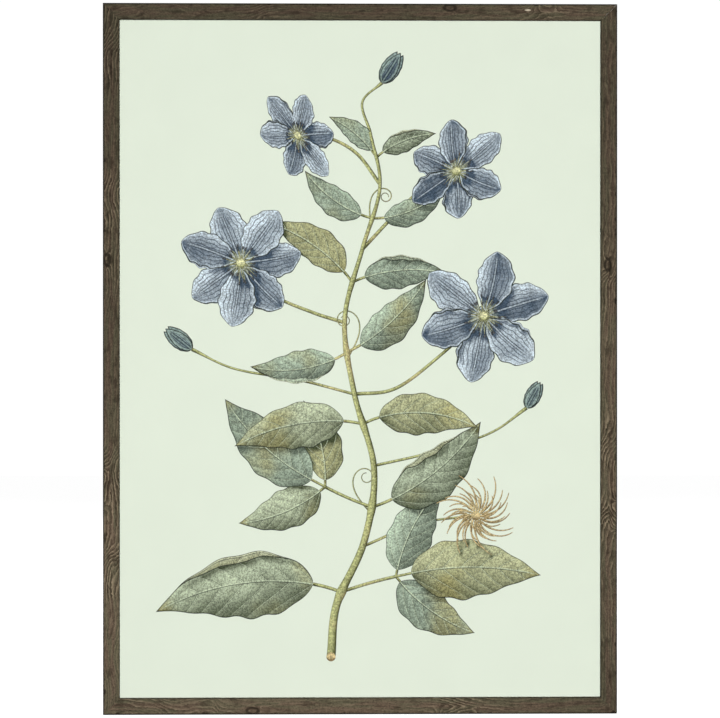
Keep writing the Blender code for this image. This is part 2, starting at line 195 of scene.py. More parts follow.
class Value:
    """A number that varies over a surface, with arithmetic that adds the nodes it needs."""

    __add__ = __radd__ = math_method("ADD")
    __sub__ = math_method("SUBTRACT")
    __mul__ = __rmul__ = math_method("MULTIPLY")
    __truediv__ = math_method("DIVIDE")
    __pow__ = math_method("POWER")
    __abs__ = math_method("ABSOLUTE")
    sign = math_method("SIGN")
    sine = math_method("SINE")
    fraction = math_method("FRACT")
    most = math_method("MAXIMUM")

    def __init__(self, tree, socket):
        self.tree = tree
        self.socket = socket

    def math(self, operation, *operands):
        node = add_node(self.tree, "Math", dict(enumerate(operands)), operation=operation)
        return Value(self.tree, node.outputs[0])

    def __rsub__(self, other):
        return self.math("SUBTRACT", other, self)

    def rise(self, low, high):
        """0 below low, 1 above high, and smooth between."""
        ends = {"Value": self, "From Min": low, "From Max": high}
        node = add_node(self.tree, "MapRange", ends, interpolation_type="SMOOTHSTEP")
        return Value(self.tree, node.outputs["Result"])

    def fall(self, low, high):
        return 1 - self.rise(low, high)


def combine(tree, x, y, z):
    return add_node(tree, "CombineXYZ", {"X": x, "Y": y, "Z": z}).outputs[0]


def separate(tree, vector):
    outputs = add_node(tree, "SeparateXYZ", {"Vector": vector}).outputs
    return [Value(tree, output) for output in outputs]


def noise(tree, vector, scale=1.0, detail=2.0, roughness=0.5):
    inputs = {"Vector": vector, "Scale": scale, "Detail": detail, "Roughness": roughness}
    return Value(tree, add_node(tree, "TexNoise", inputs).outputs[0])


# A Mix node has sockets for numbers and vectors too. These are its factor's and its colours'
MIX_FACTOR, MIX_FIRST, MIX_SECOND, MIX_RESULT = 0, 6, 7, 2


def mix(tree, factor, first, second):
    inputs = {MIX_FACTOR: factor, MIX_FIRST: first, MIX_SECOND: second}
    return add_node(tree, "Mix", data_type="RGBA", clamp_factor=True, inputs=inputs).outputs[MIX_RESULT]


def brighten(tree, colour, factor):
    """Multiplies a colour by a number."""
    scaled = add_node(tree, "VectorMath", {0: colour, "Scale": factor}, operation="SCALE")
    return scaled.outputs[0]


class Paint:
    """A colour that others are laid over."""

    def __init__(self, tree, tone, deep, light):
        self.tree = tree
        self.colour = mix(tree, tone, deep, light)

    def lay(self, cover, colour):
        self.colour = mix(self.tree, cover, self.colour, colour)

    def brighten(self, factor):
        self.colour = brighten(self.tree, self.colour, factor)


SOCKET_KINDS = {"number": "NodeSocketFloat", "colour": "NodeSocketColor", "vector": "NodeSocketVector"}


def make_group(name, inputs, outputs):
    """A node group with named sockets. Gives its tree, its inputs and a function that sets an output."""
    tree = bpy.data.node_groups.new(name, "ShaderNodeTree")
    for way, sockets in (("INPUT", inputs), ("OUTPUT", outputs)):
        for kind, names in sockets.items():
            for socket in names:
                tree.interface.new_socket(socket, in_out=way, socket_type=SOCKET_KINDS[kind])
    entry = tree.nodes.new("NodeGroupInput")
    leave = tree.nodes.new("NodeGroupOutput")
    given = {}
    for socket in entry.outputs[:-1]:
        number = socket.type == "VALUE"
        given[socket.name] = Value(tree, socket) if number else socket
    return tree, given, lambda socket, value: plug(tree, value, leave.inputs[socket])


def use_group(tree, name, inputs):
    node = add_node(tree, "Group", node_tree=bpy.data.node_groups[name])
    for socket, value in inputs.items():
        plug(tree, value, node.inputs[socket])
    return node.outputs


def new_material(name, roughness=0.5, metallic=0.0, specular=0.5):
    """A material with a Principled shader. Its plain values are set on the shader's own sockets."""
    material = bpy.data.materials.new(name)
    material.use_nodes = True
    shader = material.node_tree.nodes["Principled BSDF"]
    shader.inputs["Roughness"].default_value = roughness
    shader.inputs["Metallic"].default_value = metallic
    shader.inputs["Specular IOR Level"].default_value = specular
    return material, material.node_tree, shader


def bump(tree, height, distance):
    return add_node(tree, "Bump", {"Height": height, "Distance": distance}).outputs[0]


def dress(tree, shader, finish, relief):
    """Plugs in what a finish gives: its colour, its roughness if it has one, and its height as relief."""
    plug(tree, finish["Colour"], shader.inputs["Base Color"])
    if "Roughness" in finish:
        plug(tree, finish["Roughness"], shader.inputs["Roughness"])
    plug(tree, bump(tree, finish["Height"], relief), shader.inputs["Normal"])


def drawn_curve(tree, value, points, span=1.0):
    """A smooth curve through points whose places go from 0 to 1 and whose heights go from 0 to a span."""
    node = add_node(tree, "FloatCurve", {"Value": value})
    curve = node.mapping.curves[0]
    for number, (place, height) in enumerate(points):
        if number < len(curve.points):
            curve.points[number].location = (place, height / span)
        else:
            curve.points.new(place, height / span)
    node.mapping.update()
    return Value(tree, node.outputs[0]) * span


def object_place(tree):
    return add_node(tree, "TexCoord").outputs["Object"]


# Shared effects. Their numbers are shares from 0 to 1, noise scales per metre, and widths in millimetres
PETAL_RIBS = 4.5  # on each half of a petal


def group_print_grain():
    """The fine stipple and uneven wash of a hand-coloured plate."""
    inputs = {"vector": ["Place"], "colour": ["Colour"]}
    tree, given, leave = make_group("Print Grain", inputs, {"colour": ["Colour"]})
    stipple = noise(tree, given["Place"], 620, 1, 0.6).rise(0.34, 0.66)
    fine = noise(tree, given["Place"], 1500, 0)
    wash = noise(tree, given["Place"], 42, 3, 0.6)
    factor = (stipple - 0.5) * 0.62 + (fine - 0.5) * 0.9 + (wash - 0.5) * 0.6
    leave("Colour", brighten(tree, given["Colour"], 1.02 + factor))


INK_COLOURS = {
    "Leaf Ink": ["Light", "Deep", "Warm", "Cool", "Line"],
    "Petal Ink": ["Light", "Deep", "Line", "Base"],
    "Stem Ink": ["Light", "Deep", "Warm", "Line"],
}


def make_ink_group(name, numbers=()):
    """An ink's node group, with its tree, inputs and output, and its chart and draw as numbers.

    Both are what a printed shape's mesh says of a point on it. Chart is the share of the way along, the way
    across from -1 to 1, and the half width in millimetres. Draw is the shape's length in millimetres, how
    much its left side faces the light, and a number of its own from 0 to 1.
    """
    inputs = {"vector": ["Chart", "Draw", "Place"], "number": ["Shade", *numbers]}
    inputs["colour"] = INK_COLOURS[name]
    tree, given, leave = make_group(name, inputs, {"colour": ["Colour"]})
    return tree, given, leave, separate(tree, given["Chart"]), separate(tree, given["Draw"])


def group_leaf_ink():
    """A leaf: its lit and shaded sides, panels between slanting veins, aged patches and a dark outline."""
    tree, given, leave, chart, draw = make_ink_group("Leaf Ink", ["Veins", "Vein Slant"])
    (along, across, width), (length, lit, seed) = chart, draw
    light, deep, warm, cool, line = (given[name] for name in INK_COLOURS["Leaf Ink"])
    side = across * lit
    off_middle = abs(across) * width
    pitch = length / given["Veins"]
    run = along * length - off_middle * given["Vein Slant"] * (0.75 + abs(across) * 0.5)
    panel = (run / pitch + seed).fraction()
    to_vein = abs(panel - 0.5) * pitch
    vein = to_vein.fall(0.12, 0.62) * abs(across).fall(0.72, 0.97) * along.fall(0.86, 0.97)
    puffed = (panel - 0.5).sign() * 0.5 - (panel - 0.5)
    blotch = noise(tree, given["Place"], 26, 2, 0.5)
    ripple = (along * 11 + seed * 6 + abs(across) * 1.6).sine()
    tone = 0.62 + side * 0.46 + ripple * 0.07 + puffed * side.sign() * 0.26 + (seed - 0.5) * 0.3
    tone = tone + (blotch - 0.5) * 0.5 - along.fall(0.0, 0.22) * 0.22 - given["Shade"] * 0.85
    paint = Paint(tree, tone, deep, light)
    paint.lay(seed.fall(0.2, 0.6) * 0.65, mix(tree, tone, brighten(tree, cool, 0.36), cool))
    paint.lay(seed.rise(0.45, 0.95) * 0.6, mix(tree, tone, deep, warm))
    aged = noise(tree, given["Place"], 15, 2, 0.6).rise(0.5, 0.72) * 0.6 + along.rise(0.84, 1.0) * 0.75
    paint.lay(aged, mix(tree, tone, brighten(tree, warm, 0.5), warm))
    hatch = (run * 4.6).sine().rise(0.1, 0.95) * tone.fall(0.2, 0.75)
    paint.lay(hatch * 0.42, line)
    paint.lay(vein * 0.62, brighten(tree, light, 1.1))
    shadow_of_vein = abs(to_vein - 0.85).fall(0.05, 0.5) * abs(across).fall(0.5, 0.95)
    paint.lay(shadow_of_vein * 0.6, line)
    midrib = off_middle.fall(0.25, 0.75) * along.fall(0.9, 0.99)
    paint.lay(midrib * 0.85, light)
    lit_side = across * width * lit.sign()
    shadow_of_midrib = abs(lit_side + 1.0).fall(0.1, 0.65) * along.fall(0.75, 0.97)
    paint.lay(shadow_of_midrib * 0.75, line)
    edge = (1 - abs(across)) * width
    paint.lay(edge.fall(0.45, 1.2) * (1.0 - side * 0.35), line)
    leave("Colour", paint.colour)


def group_petal_ink():
    """A petal: its wash, its ribs, a light middle between two dark lines, a pale rim and a dark outline."""
    tree, given, leave, chart, draw = make_ink_group("Petal Ink")
    (along, across, width), (_, lit, seed) = chart, draw
    light, deep, line, base = (given[name] for name in INK_COLOURS["Petal Ink"])
    side = across * lit
    wander = (noise(tree, given["Place"], 60, 1) - 0.5) * 0.28
    rib = (across + wander) * PETAL_RIBS + 0.5
    to_rib = abs(rib.fraction() - 0.5) * width / PETAL_RIBS
    ribs = to_rib.fall(0.1, 0.75) * abs(across).fall(0.75, 0.98) * along.fall(0.7, 0.98)
    wash = noise(tree, given["Place"], 34, 2, 0.55)
    tone = 0.6 + side * 0.46 + (abs(across) - 0.5) * 0.55 + (wash - 0.5) * 1.0 + (seed - 0.5) * 0.5
    tone = tone - along.fall(0.02, 0.36) * 0.5 - along.rise(0.82, 1.0) * 0.1 - given["Shade"] * 0.95
    paint = Paint(tree, tone, deep, light)
    paint.lay(ribs * 0.85, brighten(tree, deep, 0.72))
    paint.lay(along.fall(0.02, 0.2) * 0.5, base)
    off_middle = abs(across) * width
    paint.lay(off_middle.fall(0.5, 1.1) * along.fall(0.8, 0.97) * 0.5, light)
    pair = abs(off_middle - 1.15).fall(0.15, 0.75) * along.fall(0.68, 0.95)
    paint.lay(pair * (0.8 - side * 0.2), brighten(tree, deep, 0.45))
    edge = (1 - abs(across)) * width
    paint.lay(abs(edge - 2.0).fall(0.3, 1.2) * 0.6, brighten(tree, light, 1.1))
    paint.lay(edge.fall(0.6, 1.3) * (1.0 - side * 0.2), line)
    leave("Colour", paint.colour)


def group_stem_ink():
    """A round stem, lit from one side, with warm patches and a dark outline."""
    tree, given, leave, chart, draw = make_ink_group("Stem Ink")
    (_, across, width), (_, lit, _) = chart, draw
    light, deep, warm, line = (given[name] for name in INK_COLOURS["Stem Ink"])
    side = across * lit.sign()
    blotch = noise(tree, given["Place"], 70, 2) - 0.5
    tone = 1 - (side - 0.35) ** 2 * 0.8 + blotch * 0.5 - given["Shade"] * 0.7
    paint = Paint(tree, tone, deep, light)
    paint.lay(noise(tree, given["Place"], 24, 2).rise(0.5, 0.7) * 0.45, warm)
    paint.lay(abs(side - 0.4).fall(0.05, 0.3) * 0.6, brighten(tree, light, 1.2))
    edge = (1 - abs(across)) * width
    paint.lay(edge.fall(0.15, 0.6) * (0.7 - side * 0.3), line)
    leave("Colour", paint.colour)


WOOD_COLOURS = ["Brown", "Grey", "Pale", "Dark", "Arris", "Nick"]


def group_stained_wood():
    """Brushed and stained wood. Its lengths come in metres, across from the rail's outer edge.

    Sweep moves the rings across the face and Fold bends them back at its middle, both as they change along
    the rail: together they draw its waves, slanting lines and arrowheads.
    """
    lengths = ["Along", "Across", "Depth", "Sweep", "Knot Along", "Knot Across", "Nick Along", "Nick Across"]
    lengths += ["Ring Width", "Arris Width", "Face Width"]
    inputs = {"number": [*lengths, "Seed", "Fold", "Tone", "Lines"], "colour": WOOD_COLOURS}
    outputs = {"colour": ["Colour"], "number": ["Roughness", "Height"]}
    tree, given, leave = make_group("Stained Wood", inputs, outputs)
    seed, fold, lines = given["Seed"], given["Fold"], given["Lines"]
    brown, grey, pale, dark, arris_colour, nick_colour = (given[name] for name in WOOD_COLOURS)
    mm = {name: given[name] / MM for name in lengths}
    along, across, depth = mm["Along"], mm["Across"], mm["Depth"]

    def stretched(length, width, detail=2, roughness=0.5):
        """Noise whose lumps have a length along the rail and a width across it."""
        place = combine(tree, along / length + seed * 7, across / width + seed, depth / width)
        return noise(tree, place, 1.0, detail, roughness)

    def off_spot(spot, length, width):
        """The way to a knot or a nick, in radii of an oval."""
        run = abs(along - mm[spot + " Along"]) / length
        off = abs(across - mm[spot + " Across"]) / width
        return (run**2 + off**2 + (depth * 0.5) ** 2) ** 0.5

    to_knot = off_spot("Knot", 1.9, 1.0)
    near_knot = to_knot.fall(0.0, 9.0)
    middle = mm["Face Width"] / 2
    off_middle = across - middle
    folded = off_middle + (abs(off_middle) - off_middle) * fold
    waves = (stretched(62, 17, detail=1) - 0.5) * 15 + (stretched(15, 4.5) - 0.5) * 4.2
    jagged = (stretched(3.6, 1.5, roughness=0.65) - 0.5) * 2.1
    rings = (folded + mm["Sweep"] + depth * 0.9 + waves + jagged) / mm["Ring Width"]
    rings = rings + near_knot**2 * (across - mm["Knot Across"]).sign() * 1.8
    ring = rings.fraction()
    patchy = stretched(27, 6).rise(0.38, 0.66) * 0.6 + 0.4
    broken = stretched(5.5, 1.4).rise(0.36, 0.62) * 0.7 + 0.65
    contrast = patchy.most(fold) * lines * broken
    early = ring.rise(0.0, 0.08) * ring.fall(0.14, 0.42) * contrast
    late = ring.rise(0.4, 0.9) * contrast
    fibres = stretched(22, 0.9, roughness=0.6)
    streaks = stretched(30, 2.2)
    pores = stretched(7, 1.1, detail=1).rise(0.58, 0.74)
    blotch = stretched(15, 7, roughness=0.65).rise(0.5, 0.7)
    mottle = stretched(4, 2.6, roughness=0.7)
    speckle = stretched(1.7, 1.2, roughness=0.7) - 0.5
    side = off_middle / middle
    hue = stretched(40, 5).rise(0.42, 0.62) * 0.8
    hue = hue + side.rise(0.2, 0.7) * 0.55 + side.fall(-0.95, -0.5) * 0.45
    paint = Paint(tree, hue, brown, grey)
    paint.brighten(fibres * 0.35 + streaks * 0.55 + mottle * 1.1 + speckle * 1.9)
    paint.lay(late * 0.8, dark)
    paint.lay(early * 0.9, pale)
    paint.lay(pores * 0.25 + blotch * (0.5 + lines * 0.15), dark)
    paint.lay(to_knot.fall(0.4, 1.9) * 0.3 + abs(to_knot - 3.0).fall(0.3, 1.6) * 0.8, arris_colour)
    paint.brighten(given["Tone"])
    # Darker towards the outer and inner edges of the face, reaching further in here and there in long patches
    to_outer = (across**2 + depth**2) ** 0.5
    to_inner = ((middle * 2 - across) ** 2 + depth**2) ** 0.5
    patchy_reach = stretched(11, 30).rise(0.6, 0.76) * 1.8
    ragged = mm["Arris Width"] * (0.7 + stretched(6, 30) * 0.8 + patchy_reach)
    dark_edge = (to_outer / ragged).fall(0.5, 1.3).most((to_inner / ragged).fall(0.2, 0.8) * 0.8)
    paint.lay(dark_edge * 0.92, arris_colour)
    nick = off_spot("Nick", 3.4, 0.95).fall(0.6, 1.15)
    paint.lay(nick, nick_colour)
    leave("Colour", paint.colour)
    leave("Roughness", 0.7 - fibres * 0.14 + late * 0.1)
    leave("Height", fibres * 0.4 - late * 0.4 - pores * 0.35 - nick * 0.6)


def group_pressed_fibre():
    """Short fibres lying every way, as in paper, card and fibreboard."""
    inputs = {"vector": ["Place"], "number": ["Scale", "Strength"], "colour": ["Colour", "Fibre"]}
    outputs = {"colour": ["Colour"], "number": ["Height"]}
    tree, given, leave = make_group("Pressed Fibre", inputs, outputs)
    x, y, z = separate(tree, given["Place"])
    fibres = None
    for turn in (0.3, 1.4, 2.5):
        run = x * math.cos(turn) + z * math.sin(turn)
        off = z * math.cos(turn) - x * math.sin(turn)
        place = combine(tree, run * 0.22, off * 1.6, y * 1.6 + turn)
        strand = noise(tree, place, given["Scale"], 2, 0.6).rise(0.56, 0.74)
        fibres = strand if fibres is None else fibres.most(strand)
    cloud = noise(tree, given["Place"], 24, 3)
    strength = given["Strength"]
    paint = Paint(tree, fibres * strength, given["Colour"], given["Fibre"])
    paint.brighten(1 + (cloud - 0.5) * 0.5 * strength)
    leave("Colour", paint.colour)
    leave("Height", fibres)


def group_plated_steel():
    """Zinc plate: a faint patchiness, fine scratches and dull tarnished patches."""
    inputs = {"vector": ["Place"], "colour": ["Colour"]}
    outputs = {"colour": ["Colour"], "number": ["Roughness", "Height"]}
    tree, given, leave = make_group("Plated Steel", inputs, outputs)
    x, y, z = separate(tree, given["Place"])
    patches = noise(tree, given["Place"], 420, 2, 0.6)
    scratches = noise(tree, combine(tree, x * 0.12, y, z * 1.4), 4200, 2, 0.7).rise(0.52, 0.75)
    tarnish = noise(tree, given["Place"], 150, 3).rise(0.48, 0.72)
    leave("Colour", brighten(tree, given["Colour"], 0.8 + patches * 0.42 - tarnish * 0.3 - scratches * 0.1))
    leave("Roughness", 0.22 + patches * 0.16 + tarnish * 0.25 + scratches * 0.1)
    leave("Height", scratches)


GROUPS = [
    group_print_grain,
    group_leaf_ink,
    group_petal_ink,
    group_stem_ink,
    group_stained_wood,
    group_pressed_fibre,
    group_plated_steel,
]


def looks():
    return bpy.context.scene.framed_print


def add_object(name, data):
    made = bpy.data.objects.new(name, data)
    bpy.context.scene.collection.objects.link(made)
    return made


# The plant. Its shapes are laid out in millimetres from the middle of the sheet, x to the right and z up.
# Headings are in degrees from +x towards +z, and at is the share of the way up the stem. Light falls from the
# upper left
LIGHT = np.array([-0.62, 0.78])
Leaf = namedtuple("Leaf", "at heading stalk length width bend curl narrow leaflets")
Flower = namedtuple("Flower", "at route centre radius turn petals squash tilt")
Bud = namedtuple("Bud", "at route size heading")

STEM = [(-30, -304), (-24, -250), (4, -186), (14, -112), (-6, -36)]
STEM += [(-16, 40), (2, 112), (20, 176), (10, 232)]
STEM_WIDTHS = (4.6, 1.5)

# Width is half the leaf's width. Narrow is the share of it that the side which turns away keeps, and is
# negative for the right side
LEAVES = [
    Leaf(0.15, 12, 58, 134, 33, -26, 0.0, 0.85, 3),
    Leaf(0.15, 170, 30, 166, 37, 40, 0.30, -0.8, 1),
    Leaf(0.31, 152, 52, 122, 30, -30, 0.0, 0.85, 3),
    Leaf(0.31, 26, 22, 122, 28, 30, 0.26, 0.8, 1),
    Leaf(0.45, 176, 20, 116, 26, 34, 0.0, -0.8, 1),
    Leaf(0.45, 16, 18, 104, 23, -44, 0.0, 0.85, 1),
    Leaf(0.57, 204, 14, 88, 19, -38, 0.28, 0.75, 1),
    Leaf(0.57, 32, 16, 96, 21, 26, 0.0, 0.8, 1),
    Leaf(0.69, 132, 14, 92, 20, 30, 0.0, 0.8, 1),
    Leaf(0.69, 18, 14, 84, 19, -30, 0.28, 0.8, 1),
    Leaf(0.81, 158, 12, 74, 16, -32, 0.0, -0.85, 1),
    Leaf(0.81, 8, 12, 70, 15, 34, 0.0, 0.8, 1),
    Leaf(0.94, 128, 9, 56, 12, 28, 0.0, 0.8, 1),
    Leaf(0.94, 36, 9, 58, 12, -34, 0.25, 0.8, 1),
]

FLOWERS = [
    Flower(0.50, [(36, -30), (82, 4)], (126, 44), 70, 18, 6, 1.0, 0),
    Flower(0.62, [(-50, 48), (-90, 66)], (-122, 98), 65, 5, 7, 1.0, 0),
    Flower(0.75, [(34, 146), (66, 176)], (98, 192), 58, 38, 6, 0.86, 40),
    Flower(0.88, [(-4, 210), (-34, 226)], (-64, 228), 52, 12, 6, 0.70, 115),
]

BUDS = [
    Bud(1.0, [(2, 262), (22, 282)], 36, 58),
    Bud(0.50, [(-60, -22), (-128, -10), (-172, 10)], 34, 142),
    Bud(0.38, [(70, -96), (132, -76), (170, -50)], 30, 62),
]

SeedHead = namedtuple("SeedHead", "at route")
SEED_HEAD = SeedHead(0.24, [(60, -168), (118, -160)])

Tendril = namedtuple("Tendril", "at heading length bend")
TENDRILS = [
    Tendril(0.56, 60, 104, 540),
    Tendril(0.80, 96, 84, -560),
    Tendril(0.30, 132, 96, -500),
    Tendril(0.97, 120, 60, 480),
]

# The seed head's rings of plumes, from the outer one in: how many, where they start and how long they are
PLUME_RINGS = [(22, 9, 36), (16, 6, 26), (12, 3.5, 15)]
FILAMENTS = 28  # in each flower

# How a blade is cut. Rise and drop shape it towards its foot and its tip, wave is how uneven its edges are,
# and it is drawn as a grid of rows and columns
Cut = namedtuple("Cut", "rise drop wave rows columns")
LEAF_CUT = Cut(0.66, 1.14, 0.045, 64, 13)
PETAL_CUT = Cut(0.9, 0.72, 0.05, 60, 11)
BUD_CUT = Cut(0.55, 0.85, 0.03, 36, 9)
ANTHER_CUT = Cut(0.5, 0.5, 0.03, 8, 3)
SHARP = 1e-4  # the share of a blade at each end that is as narrow as a point

# Rows of points along the other shapes
STEM_ROWS = 120
STALK_ROWS = 30
TENDRIL_ROWS = 70
LEAF_STALK_ROWS = 16
LEAFLET_STALK_ROWS = 6
FILAMENT_ROWS = 8
PLUME_ROWS = 18
DISC_ROWS = 11

# The waves of a blade's left and right edges: how many radians they run, and how many its seed moves them
LEFT_WAVES = (31, 40)
RIGHT_WAVES = (27, 60)


def spaced(rows):
    """Shares from 0 to 1 that lie closer together near both ends."""
    return 0.5 - 0.5 * np.cos(np.linspace(0, math.pi, rows))


def curved_path(start, heading, length, bend, rows, ease=1.0):
    share = spaced(rows)
    angle = np.radians(heading + bend * share**ease)
    middle = (angle[1:] + angle[:-1]) / 2
    steps = np.stack([np.cos(middle), np.sin(middle)], axis=1) * (np.diff(share) * length)[:, None]
    return np.array(start, float) + np.vstack([np.zeros((1, 2)), np.cumsum(steps, axis=0)])


def path_through(points, rows):
    """A smooth path through points."""
    points = np.array(points, float)
    padded = np.vstack([2 * points[0] - points[1], points, 2 * points[-1] - points[-2]])
    place = np.linspace(0, len(points) - 1, rows)
    first = np.minimum(place.astype(int), len(points) - 2)
    t = (place - first)[:, None]
    a, b, c, d = (padded[first + step] for step in range(4))
    return (2 * b + (c - a) * t + (2 * a - 5 * b + 4 * c - d) * t**2 + (3 * b - a - 3 * c + d) * t**3) / 2


def place_on(path, share):
    """The point and the heading at a share of a path's rows."""
    row = share * (len(path) - 1)
    low = min(int(row), len(path) - 2)
    step = path[low + 1] - path[low]
    return path[low] + step * (row - low), math.degrees(math.atan2(step[1], step[0]))


def lens(share, rise, drop):
    """A leaf's half width along its length, 1 at the widest."""
    widest = rise / (rise + drop)
    return (share / widest) ** rise * ((1 - share) / (1 - widest)) ** drop


class Shape:
    """A flat shape of the print: a grid of points along a path and across it.

    Left and right are its half widths, either one number each or one for each point of the path.
    """

    NARROWEST = 0.12
    POINTS_A_CELL = 1.6

    def __init__(self, path, left, right, columns, seed):
        steps = np.gradient(path, axis=0)
        steps /= np.linalg.norm(steps, axis=1, keepdims=True)
        normal = np.stack([-steps[:, 1], steps[:, 0]], axis=1)
        lengths = np.concatenate([[0], np.cumsum(np.linalg.norm(np.diff(path, axis=0), axis=1))])
        across = np.linspace(-1, 1, columns)
        sides = np.where(across > 0, np.reshape(left, (-1, 1)), np.reshape(right, (-1, 1)))
        sides = np.maximum(sides, self.NARROWEST) * np.ones((len(path), 1))
        self.points = path[:, None] + normal[:, None] * (across * sides)[..., None]
        along = np.repeat((lengths / lengths[-1])[:, None], columns, axis=1)
        self.chart = np.stack([along, np.broadcast_to(across, along.shape), sides], axis=2)
        lit = np.repeat((normal @ LIGHT)[:, None], columns, axis=1)
        self.draw = np.stack([np.full_like(along, lengths[-1]), lit, np.full_like(along, seed)], axis=2)
        self.layer = 0
        self.shade = np.zeros_like(along)

    def filled(self, cell):
        """Points all over the shape, closer than a cell apart."""
        points = self.points
        for axis, reach in ((0, self.draw[0, 0, 0]), (1, 2 * self.chart[..., 2].max())):
            count = points.shape[axis]
            place = np.linspace(0, count - 1, int(reach / cell * self.POINTS_A_CELL) + 2)
            low = np.minimum(place.astype(int), count - 2)
            share = (place - low).reshape((-1, 1, 1) if axis == 0 else (1, -1, 1))
            points = np.take(points, low, axis) * (1 - share) + np.take(points, low + 1, axis) * share
        return points

    def squash(self, centre, factor, tilt):
        """Foreshortens it about a centre: its points come nearer to the line through that at the tilt."""
        turn = math.radians(tilt)
        way = np.array([-math.sin(turn), math.cos(turn)])
        off = (self.points - centre) @ way
        self.points = self.points - (off * (1 - factor))[..., None] * way


def blade(cut, start, heading, length, width, bend, seed, narrow=1.0):
    """A leaf or petal. Narrow is the share of its width that one side keeps, the right one if negative."""
    path = curved_path(start, heading, length, bend, cut.rows)
    share = spaced(cut.rows)
    half = width * lens(np.clip(share, SHARP, 1 - SHARP), cut.rise, cut.drop)

    def side(waves, kept):
        run, shift = waves
        return half * (1 + cut.wave * np.sin(share * run + seed * shift)) * kept

    left = side(LEFT_WAVES, narrow if narrow > 0 else 1)
    right = side(RIGHT_WAVES, -narrow if narrow < 0 else 1)
    return Shape(path, left, right, cut.columns, seed)


def band(path, half, columns, seed):
    """A shape that is as wide on the left as on the right."""
    return Shape(path, half, half, columns, seed)


def alternating(count):
    """Every second number below a count, then those between, so that neighbours lie over and under."""
    return [*range(0, count, 2), *range(1, count, 2)]


def pointing(heading):
    angle = math.radians(heading)
    return np.array([math.cos(angle), math.sin(angle)])


def disc(centre, radius, seed):
    """A round spot."""
    reach = radius * np.cos(np.linspace(math.pi, 0, DISC_ROWS))
    path = np.array(centre, float) + np.stack([reach, np.zeros(DISC_ROWS)], axis=1)
    return band(path, np.sqrt(np.maximum(radius**2 - reach**2, 0)), 7, seed)


def edge_curl(shape, side, amount, seed):
    """The turned-over margin of a blade, which shows its underside and stops short of both its ends."""
    kept = slice(3, -3)
    edge = shape.points[kept, -1 if side > 0 else 0]
    share = spaced(len(shape.points))[kept]
    half = shape.chart[kept, 0, 2]
    reach = amount * half * np.sin(math.pi * np.clip(share * 1.25 - 0.12, 0, 1)) ** 1.5
    outside = 0.3
    left, right = (outside, reach) if side > 0 else (reach, outside)
    return Shape(edge, left, right, 5, seed)


def stalk(points, start_width, end_width, seed, swell=0.0):
    """A stem through points. Swell is how much wider it gets at its end."""
    path = path_through(points, STALK_ROWS)
    share = np.linspace(0, 1, STALK_ROWS)
    half = start_width + (end_width - start_width) * share + swell * np.exp(-(((1 - share) * 9) ** 2))
    return band(path, half, 5, seed)


